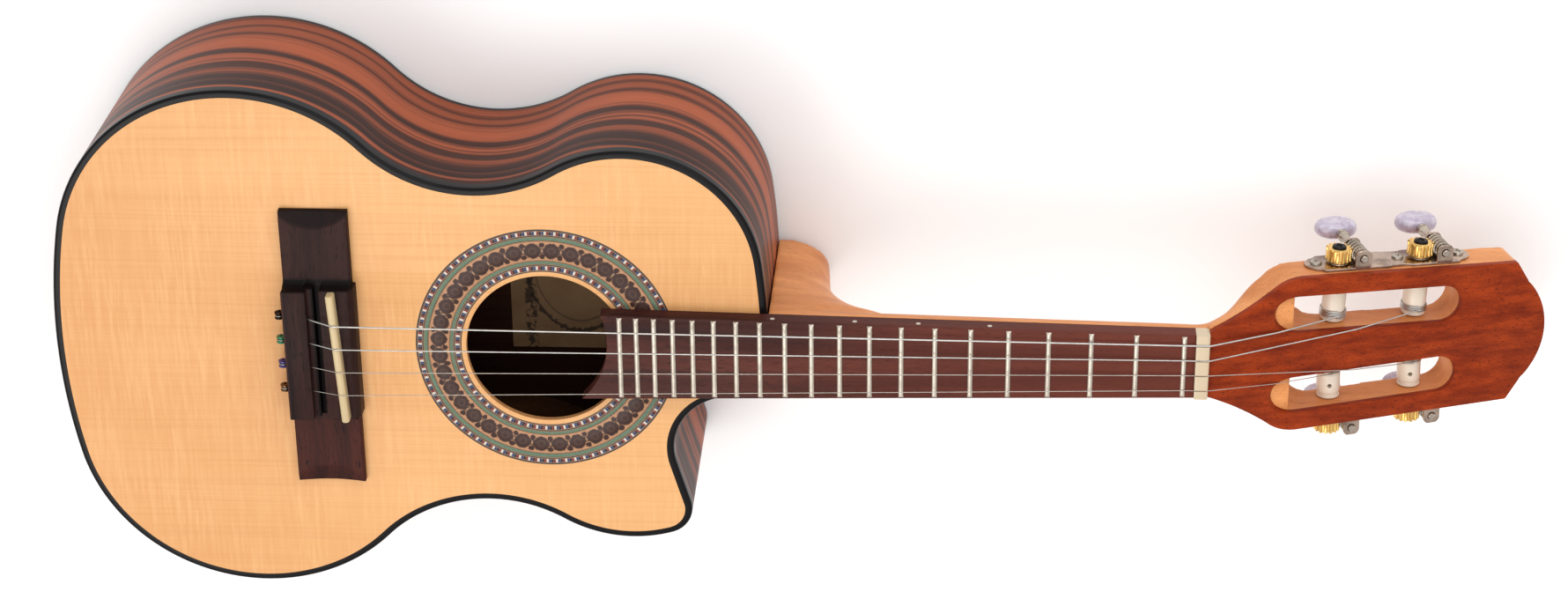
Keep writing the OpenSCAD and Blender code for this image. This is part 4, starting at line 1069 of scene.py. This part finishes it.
def sharpen_rim(co):
    """Draws the wood just under the veneer out to the true outlines of the head and its slots."""
    s, y, h = to_head(co)
    rim, depth = -VENEER_T, 2.6
    for level in np.arange(rim - depth, rim + 0.3, 0.2):
        pick = np.nonzero((s > 16) & (h > level - 0.1) & (h <= level + 0.1))[0]
        if not len(pick):
            continue
        point = np.stack((s[pick], y[pick]), 1)
        rows, best, goal = np.arange(len(pick)), np.full(len(pick), 9.9), point.copy()
        for loop in (head_outline(6.35), slot_outline(1, level), slot_outline(-1, level)):
            p = np.array(loop, float)
            d = np.roll(p, -1, 0) - p
            t = ((point[:, None] - p) * d).sum(2) / np.maximum((d * d).sum(1), 1e-9)
            near = p + np.clip(t, 0, 1)[..., None] * d
            gap = np.linalg.norm(point[:, None] - near, axis=2)
            k = gap.argmin(1)
            better = gap[rows, k] < best
            goal[better], best[better] = near[rows, k][better], gap[rows, k][better]
        reach = 0.7 if level > rim - 0.3 else 0.9
        amount = np.where(best < reach, min(1.0, level - rim + depth), 0.0)
        s[pick] += (goal[:, 0] - point[:, 0]) * amount
        y[pick] += (goal[:, 1] - point[:, 1]) * amount
    h[(s > 16) & (h > rim - 0.5)] = rim
    tilt = radians(HEAD_ANGLE)
    x, z = HEAD_X + s * cos(tilt) + h * sin(tilt), HEAD_Z - s * sin(tilt) + h * cos(tilt)
    return np.stack((x, y, z), 1) / 1000


def build_neck():
    """Heel, shaft and head in one skin, and the head veneer."""
    angles = np.linspace(-90, 90, 41)
    heel = [[(JOINT_X + heel_length(z) * cos(radians(a)), heel_width(z) * sin(radians(a)), z) for a in angles]
            for z in np.linspace(3.2, TOP_Z - 4, 44)]

    def shaft(x, d, w=None, sink=0.0):
        w = board_half(x) - 0.1 if w is None else w
        return [(x, w * sin(radians(a)),
            TOP_Z + sink - (d + sink) * abs(cos(radians(a))) ** 0.85) for a in angles]

    body = [shaft(x, 15.5) for x in np.linspace(JOINT_X, 200, 4)]
    body += [shaft(x, 15.5 + (13.5 - 15.5) * (x - 200) / (NUT_X1 - 200)) for x in np.linspace(200,
        NUT_X1 - 0.05, 16)[1:]]
    # the round shaft turns gradually into the square head behind the nut
    rim = sorted((p for p in head_outline(0.5) if p[1] > 0 and p[0] < SHOULDER_S), key=lambda p: p[0])
    plan_s, plan_y = [p[0] for p in rim], [p[1] for p in rim]
    root = []
    for s in np.linspace(6.4, 43, 24):
        t = min(1.0, (s - 6.4) / 25.0)
        t = t * t * (3 - 2 * t)
        w = float(np.interp(s, plan_s, plan_y)) - 0.02 + 1.2 * (1 - t) * exp(-(((s - 7) / 6) ** 2))
        ring = []
        for a in angles:
            y = w * copysign(abs(sin(radians(a))) ** (1 - 0.9 * t), a)
            h = -VENEER_T - (HEAD_T - VENEER_T + 0.25 * (1 - t)) * abs(cos(radians(a))) ** (0.85 - 0.76 * t)
            ring.append((s - h * tan(radians(HEAD_ANGLE)) * (1 - t), y, h))
        root.append(ring)
    root = transform(loft(root), HEAD)
    core = transform(head_solid(-HEAD_T, -VENEER_T, 31.5), HEAD)
    ob = add("neck_wood", *merge([loft(heel), loft(body), root, core]), CEDAR, "neck", "cedar")
    mod = ob.modifiers.new("one_skin", "REMESH")
    mod.mode, mod.voxel_size, mod.use_smooth_shade = "VOXEL", 0.0008, True
    bake_modifiers(ob)
    me = ob.data
    co = np.empty(len(me.vertices) * 3, np.float64)
    me.vertices.foreach_get("co", co)
    co = co.reshape(-1, 3)
    ends = np.empty(len(me.edges) * 2, np.int64)
    me.edges.foreach_get("vertices", ends)
    x, z = co[:, 0] * 1000, co[:, 2] * 1000
    s, _, h = to_head(co)
    weight = np.ones(len(co))
    weight[(z > TOP_Z - 1.3) & (x < NUT_X1 + 0.5)] = 0.0
    weight[x < JOINT_X + 1.2] = 0.0
    weight[z < 4.2] = 0.15
    weight[(x > NUT_X1 - 1) & (h > -VENEER_T - 1.3)] = 0.0
    weight[s > 40] *= 0.6
    co = smooth_mesh(co, ends.reshape(-1, 2), weight, 14)
    bend = np.exp(-(((x - 236) / 13) ** 2)) * np.clip((TOP_Z - 8 - z) / 4, 0, 1)
    bend += np.exp(-(((s - 9) / 9) ** 2)) * np.clip((-VENEER_T - 5 - h) / 4, 0, 1)
    co = smooth_mesh(co, ends.reshape(-1, 2), weight * np.clip(bend, 0, 1), 45)
    co = sharpen_rim(co)
    me.vertices.foreach_set("co", co.astype(np.float32).ravel())
    bm = bmesh.new()
    bm.from_mesh(me)
    bmesh.ops.remove_doubles(bm, verts=bm.verts, dist=0.00002)
    bm.to_mesh(me)
    bm.free()
    me.update()
    shade(me, 42)

    add("head_veneer_sheet", *transform(head_solid(-VENEER_T, 0, 6.35, 0.35), HEAD), VENEER, "head_veneer",
        "veneer", angle=30)


# ---- the tuners
# maps a solid made about z so that its z runs out of the head's side
OUTWARD = Matrix(((1, 0, 0, 0), (0, 0, 1, 0), (0, -1, 0, 0), (0, 0, 0, 1)))


def plate_outline():
    """Half width w of the plate along u, with a lobed end and a shallow waist between the gears."""
    u0, u1 = PLATE_SCREW_U[0], PLATE_SCREW_U[2]
    side = [(u1 + 1.6, 4.8), (u1 - 0.6, 5.4), (u1 - 2.0, 7.0), (47.5, 7.0), (46.2, 6.4), (43.5, 6.2),
        (39.5, 6.4),
            (37.5, 7.0), (12.5, 7.0), (u0 + 2.0, 7.0), (u0 + 0.6, 5.4), (u0 - 1.6, 4.8)]
    other = [(u, -w) for u, w in reversed(side) if u != 12.5]
    return arc((u1, 0), 4.6, -62, 62, 14) + side + arc((u0, 0), 4.6, 118, 242, 14) + other


def screw_head(r, h, recess):
    """A domed head with a cross recess, made as rings of points over the dome."""
    verts, faces, n, rings = [(0, 0, h * 0.45)], [], 40, []
    for t in (0.08, 0.16, 0.24, 0.3, 0.36, 0.42, 0.5, 0.62, 0.74, 0.85, 0.94, 1.0):
        ring = []
        for j in range(n):
            a = 2 * pi * j / n
            x, y = r * t * cos(a), r * t * sin(a)
            z = h * sqrt(max(0.0, 1 - (0.93 * t) ** 2)) * 0.62 + h * 0.38
            if t == 1.0:
                z = 0.25 * h
            wing = min(abs(x), abs(y))
            if max(abs(x), abs(y)) < r * 0.55 and wing < r * 0.14:
                z -= recess
            ring.append(len(verts))
            verts.append((x, y, z))
        rings.append(ring)
    base = [len(verts) + j for j in range(n)]
    verts += [(r * cos(2 * pi * j / n), r * sin(2 * pi * j / n), -0.05) for j in range(n)]
    rings.append(base)
    for j in range(n):
        faces.append((0, rings[0][j], rings[0][(j + 1) % n]))
    for a, b in zip(rings, rings[1:]):
        for j in range(n):
            faces.append((a[j], b[j], b[(j + 1) % n], a[(j + 1) % n]))
    faces.append(tuple(reversed(base)))
    return verts, faces


def build_plate(side, name, node):
    """A tuner plate with its ears and bushes."""
    m = side_matrix(side)
    out = move(0, 0, -TUNER_DEPTH) @ OUTWARD
    shells = [transform(slab([plate_outline()], rounded(0.02, 1.2, 0.3)), out)]
    for u in (u + WORM_U for u in GEAR_U):
        for end in (-1, 1):
            ear = [(u - 3.5, 0.6), (u + 3.5, 0.6), (u + 3.5, AXLE_V + 1.6), (u + 2.2, AXLE_V + 3.3),
                (u - 2.2, AXLE_V + 3.3), (u - 3.5, AXLE_V + 1.6)]
            hole = circle(u, AXLE_V, 1.56, 32, True)
            loop = round_corners(ear, 0.9, 3)
            w0, w1 = (5.8, 7.0) if end > 0 else (-7.0, -5.8)
            mid = (w0 + w1) / 2
            shell = slab([loop, hole], [(0.22, w0), (0, w0 + 0.25), (0, w1 - 0.25), (0.22, w1)])
            shells.append(transform(shell, move(0, 0, -TUNER_DEPTH)))
            # the bend between the plate and the ear
            arcs = []
            for uu in np.linspace(u - 3.45, u + 3.45, 5):
                ring = [(uu, 1.1 + 1.1 * (1 - cos(a)),
                    mid - end * (0.6 + 1.1 * (1 - sin(a)))) for a in np.linspace(0, pi / 2, 5)]
                ring += [(uu, 1.0, mid - end * 0.55)]
                arcs.append(ring)
            shells.append(transform(loft(arcs), move(0, 0, -TUNER_DEPTH)))
    for u in GEAR_U:
        bush = revolve([(2.56, 1.15), (4.1, 1.15), (4.0, 1.45), (3.7, 1.62), (2.56, 1.62)], 40)
        shells.append(transform(bush, move(u, 0, 0) @ out))
    add(name, *transform(merge(shells), m), NICKEL, node, "nickel", angle=32)
    bushes = []
    for u in GEAR_U:
        bushes.append(transform(revolve([(2.56, 1.6), (3.6, 1.6), (3.5, 2.0), (3.1, 2.22), (2.56, 2.22)],
            40), move(u, 0, 0) @ out))
    add(name + "_bushes", *transform(merge(bushes), m), BRASS, slot="brass", angle=32)


def build_screws():
    """The six plate screws."""
    shells = []
    for side in (-1, 1):
        for u in PLATE_SCREW_U:
            out = move(u, 0, -TUNER_DEPTH) @ OUTWARD @ Matrix.Rotation(0.5 * u, 4, "Z")
            head = transform(screw_head(2.4, 1.35, 0.55), out @ move(0, 0, 1.2))
            shank = transform(revolve([(0, -6.2), (0.5, -5.6), (1.15, -4.6), (1.15, 1.15), (0, 1.15)], 20),
                out)
            m = side_matrix(side)
            shells += [transform(head, m), transform(shank, m)]
    add("plate_screw_set", *merge(shells), SCREW, "plate_screws", "steel", angle=30)


def worm_shell():
    """Shaft, right-handed thread, collars, ferrule and stem about w."""
    pitch, length, n = 2.16, 11.0, 40
    rings = []
    steps = int(length / pitch * 18)
    for i in range(steps + 1):
        w = -length / 2 + length * i / steps
        fade = min(1.0, min(i, steps - i) / 4)
        ring = []
        for j in range(n):
            a = 2 * pi * j / n
            phase = ((a - pi) / (2 * pi) - w / pitch) % 1.0
            d = abs(phase if phase <= 0.5 else phase - 1.0)
            ridge = min(1.0, max(0.0, (0.23 - d) / 0.12))
            r = 2.3 + (3.4 - 2.3) * ridge * fade
            ring.append((r * cos(a), r * sin(a), w))
        rings.append(ring)
    shells = [loft(rings)]
    for w0, w1 in ((-7.15, -5.4), (5.4, 7.9)):
        shells.append(revolve([(0, w0), (1.3, w0), (1.5, w0 + 0.2), (1.5, w1 - 0.3), (1.2, w1), (0, w1)], 32))
    low = BUTTON_DROP + 6.5
    neck = [(0, low), (1.9, low), (2.4, low + 0.5), (2.45, low + 1.2), (2.2, low + 1.5), (2.2, low + 2.0),
        (2.4, low + 2.3), (2.4, low + 3.2),
            (1.7, low + 4.3), (1.55, low + 6), (1.7, -8.6), (2.3, -8.1), (2.3, -7.3), (1.9, -7.1), (0, -7.1)]
    shells.append(revolve(neck, 36))
    shells.append(revolve([(0, BUTTON_DROP - 2.9), (1.3, BUTTON_DROP - 2.9), (1.3, low + 0.2),
        (0, low + 0.2)], 24))
    return merge(shells)


def button_shell():
    """A pillow-shaped oval button, thickest in the middle, with a shallow dish on each face."""
    rings, n, m = [], 64, 26
    for i in range(1, m):
        t = pi * i / m
        ring = []
        for j in range(n):
            a = 2 * pi * j / n
            ca, sa = cos(a), sin(a)
            reach = abs(sin(t)) ** 0.62
            u = 8.8 * reach * copysign(abs(ca) ** 0.92, ca)
            w = 6.4 * reach * copysign(abs(sa) ** 0.92, sa)
            v = 3.75 * copysign(abs(cos(t)) ** 0.8, cos(t))
            dish = 0.35 * exp(-((u / 4.6) ** 2) - ((w / 3.2) ** 2))
            ring.append((u, v - copysign(dish, v), w))
        rings.append(ring)
    verts, faces = loft(rings)
    top, bottom = len(verts), len(verts) + 1
    verts = list(verts) + [(0, 3.75 - 0.37, 0), (0, -3.75 + 0.37, 0)]
    faces = [f for f in faces if len(f) == 4]
    last = (m - 2) * n
    for j in range(n):
        faces.append((top, j, (j + 1) % n))
        faces.append((bottom, last + (j + 1) % n, last + j))
    return verts, faces


def gear_shell():
    """A worm gear about z with a concave throat and a turned boss."""
    teeth, per, half = 14, 14, 2.5
    rings = []
    for i in range(13):
        z = -half + 2 * half * i / 12
        throat = 0.32 * (1 - (z / half) ** 2)
        chamfer = 0.25 if i in (0, 12) else 0.0
        ring = []
        for j in range(teeth * per):
            a = 2 * pi * j / (teeth * per)
            phase = (a / (2 * pi) * teeth) % 1.0
            d = abs(phase - 0.5)
            k = min(1.0, max(0.0, (0.29 - d) / 0.11))
            r = 4.5 + (5.5 - throat - 4.5) * k - chamfer
            ring.append((r * cos(a), r * sin(a), z))
        rings.append(ring)
    shells = [loft(rings)]
    shells.append(revolve([(0, half - 0.1), (3.9, half - 0.1), (3.9, half + 0.02), (3.6, half + 0.18),
        (3.1, half + 0.1), (0, half + 0.05)], 48))
    return merge(shells)


def tuner_place(k):
    """The side of the head and the place along it of string k's tuner."""
    return (-1 if k <= 2 else 1), GEAR_U[k in (2, 3)]


def build_tuner(k):
    """Key, gear, roller and winding of string k."""
    side, u = tuner_place(k)
    base = side_matrix(side) @ move(u, 0, -TUNER_DEPTH)
    key, drum = f"key_{k}", f"roller_{k}_set"
    worm_at = base @ move(WORM_U, AXLE_V, 0)
    add(f"worm_gear_shaft_{k}", *transform(worm_shell(), worm_at), STEEL, f"worm_{k}", "steel", 35, key)
    add(f"tuning_button_{k}", *transform(button_shell(), worm_at @ move(0, 0, BUTTON_DROP)), PEARL,
        f"button_{k}", "pearloid", 60, key)
    at = base @ OUTWARD
    add(f"brass_gear_{k}", *transform(gear_shell(), at @ move(0, 0, AXLE_V)), BRASS, f"gear_{k}", "brass",
        30, drum)
    top = AXLE_V + 2.5
    add(f"gear_centre_screw_{k}", *transform(screw_head(2.9, 1.15, 0.5), at @ move(0, 0, top + 0.05)),
        DARK_STEEL, f"gear_screw_{k}", "steel", 30, drum)
    shaft = revolve([(0, -29.6), (2.2, -29.6), (2.5, -29.3), (2.5, -24.6), (2.5, 2.3), (0, 2.3)], 36)
    sleeve = revolve([(2.4, -10.4), (3.4, -10.4), (3.5, -10.2), (3.5, -8.4), (3.3, -8.25), (2.4, -8.25)], 36)
    add(f"roller_axle_{k}", *transform(merge([shaft, sleeve]), at), STEEL, f"roller_shaft_{k}", "steel", 35,
        drum)
    barrel = [(2.52, -23.8), (4.3, -23.8), (4.75, -23.45), (4.8, -23.0), (4.8, -21.9), (4.62, -21.75),
        (4.62, -19.2), (4.8, -19.05),
              (4.8, -11.3), (4.6, -10.9), (4.2, -10.6), (4.2, -9.2), (4.6, -9.0), (4.6, -8.75), (4.3, -8.6),
              (2.52, -8.6)]
    drum_ob = add(f"string_roller_{k}", *transform(revolve(barrel, 56), at), ROLLER, f"roller_{k}",
        "roller_white", 35, drum)
    hole = tube([(0, -1.5, -14.6), (0, -7.0, -14.6)], 0.95, 20)
    tool = add("roller_cut", *transform(hole, at @ turned(-14 if side < 0 else 100, "Z")), ROLLER, body=drum)
    carve(drum_ob, [tool])
    r, turns = DIAMETERS[k - 1] / 2, 4
    points = []
    for i in range(turns * 28 + 1):
        a = 2 * pi * i / 28
        v = -20.5 + (i / 28 - turns / 2) * 2 * r * 1.03
        points.append(((ROLLER_R + r) * sin(a), -(ROLLER_R + r) * cos(a), v))
    add(f"string_coil_{k}", *transform(tube(points, r, 10), at), WOUND if k > 2 else WIRE, f"winding_{k}",
        "string_wire", 60, drum)


# ---- the strings
def head_point(s, y, h):
    """A point of the head's own plane in the object."""
    return HEAD @ Vector((s, y, h))


def string_path(k):
    """Points of string k from its hole in the bridge to its roller."""
    r = DIAMETERS[k - 1] / 2
    saddle_y, nut_y = spread(k, SADDLE_SPREAD), spread(k, NUT_SPREAD)
    side, u = tuner_place(k)
    t = radians(HEAD_TAPER)
    end_s = SHOULDER_S + u * cos(t) - 20.5 * sin(t)
    end_y = side * (side_y(end_s) - 20.5)
    edge_s = 35.0 if k in (1, 4) else 68.7
    edge_y = nut_y + (end_y - nut_y) * (edge_s - 6.8) / (end_s - 6.8)
    return [
        Vector((-22.55, spread(k, SADDLE_SPREAD) * 1.05, TOP_Z + TIE_Z)),
        Vector((-12.6, spread(k, SADDLE_SPREAD) * 1.04, TOP_Z + 9.0)),
        Vector((-0.8 - saddle_y * tan(radians(SADDLE_TILT)), saddle_y, TOP_Z + SADDLE_TOP + r + 0.03)),
        Vector((SCALE, nut_y, FRET_Z + r + 0.03)),
        Vector((NUT_X1 + 0.4, nut_y, FRET_Z + r - 0.1)),
        head_point(edge_s, edge_y, r + 0.4),
        head_point(end_s, end_y, -TUNER_DEPTH + ROLLER_R + 3 * r + 0.1),
    ]


def build_strings():
    """The four strings from bridge to roller."""
    for k in range(1, 5):
        path, r = string_path(k), DIAMETERS[k - 1] / 2
        if k <= 2:
            shell = tube(path, r, 14)
        else:
            points, step = [], 0.12
            for a, b in zip(path, path[1:]):
                n = max(2, int((b - a).length / step))
                points += [a.lerp(b, i / n) for i in range(n)]
            points.append(path[-1])
            shell = tube(points, lambda i, r=r: r * (0.94 if i % 2 else 1.0), 8)
        add(f"string_run_{k}", *shell, WOUND if k > 2 else WIRE, f"string_{k}", "string_wire", angle=60)


build_body()
build_bridge()
build_fingerboard()
build_neck()
build_plate(1, "tuner_plate_bass", "plate_bass")
build_plate(-1, "tuner_plate_treble", "plate_treble")
build_screws()
for number in range(1, 5):
    build_tuner(number)
build_strings()


# ---- floor, lights and camera
def build_stage():
    """Pale floor, world and soft lights."""
    me = bpy.data.meshes.new("floor")
    me.from_pydata([(-6, -6, -0.0005), (6, -6, -0.0005), (6, 6, -0.0005), (-6, 6, -0.0005)], [],
        [(0, 1, 2, 3)])
    floor = bpy.data.objects.new("floor", me)
    bpy.context.scene.collection.objects.link(floor)
    g = Graph("floor_pale", roughness=0.9)
    tone = g.noise(g.pos, 3, 2)
    me.materials.append(g.set(Base_Color=g.mix(tone, (0.93, 0.93, 0.93), (0.96, 0.96, 0.96))))

    world = bpy.data.worlds.new("studio")
    bpy.context.scene.world = world
    world.use_nodes = True
    background = world.node_tree.nodes["Background"]
    background.inputs["Color"].default_value = (1.0, 1.0, 1.0, 1.0)
    background.inputs["Strength"].default_value = 0.85

    middle = Vector((0.185, 0.0, 0.06))

    def lamp(name, place, size, power, colour=(1, 1, 1)):
        light = bpy.data.lights.new(name, "AREA")
        light.shape, light.size, light.size_y = "RECTANGLE", size[0], size[1]
        light.energy, light.color = power, colour
        ob = bpy.data.objects.new(name, light)
        ob.location = place
        ob.rotation_euler = (middle - Vector(place)).to_track_quat("-Z", "Y").to_euler()
        bpy.context.scene.collection.objects.link(ob)

    lamp("key", (-0.6, -0.6, 1.9), (1.1, 0.9), 13, (1.0, 0.98, 0.95))
    lamp("fill", (0.9, 1.5, 1.0), (1.4, 1.0), 10)
    lamp("top", (0.3, 0.1, 2.0), (1.6, 1.6), 9)


def build_camera():
    """The camera of the main view."""
    data = bpy.data.cameras.new("view")
    data.sensor_width, data.lens = 36.0, 36.0 * 3680.7 / 1780
    data.clip_start, data.clip_end = 0.01, 50
    ob = bpy.data.objects.new("view", data)
    bpy.context.scene.collection.objects.link(ob)
    right = Vector((0.9985954, -0.00854824, -0.05228914))
    ahead = Vector((-0.05083523, -0.43273883, -0.90008493))
    up = right.cross(ahead)
    turn = Matrix((right, up, -ahead)).transposed()
    ob.matrix_world = move(0.245839, 0.587759, 1.164772 + 0.093) @ turn.to_4x4()
    bpy.context.scene.camera = ob


build_stage()
build_camera()
scene = bpy.context.scene
scene.view_settings.view_transform = "Standard"
scene.view_settings.look = "None"
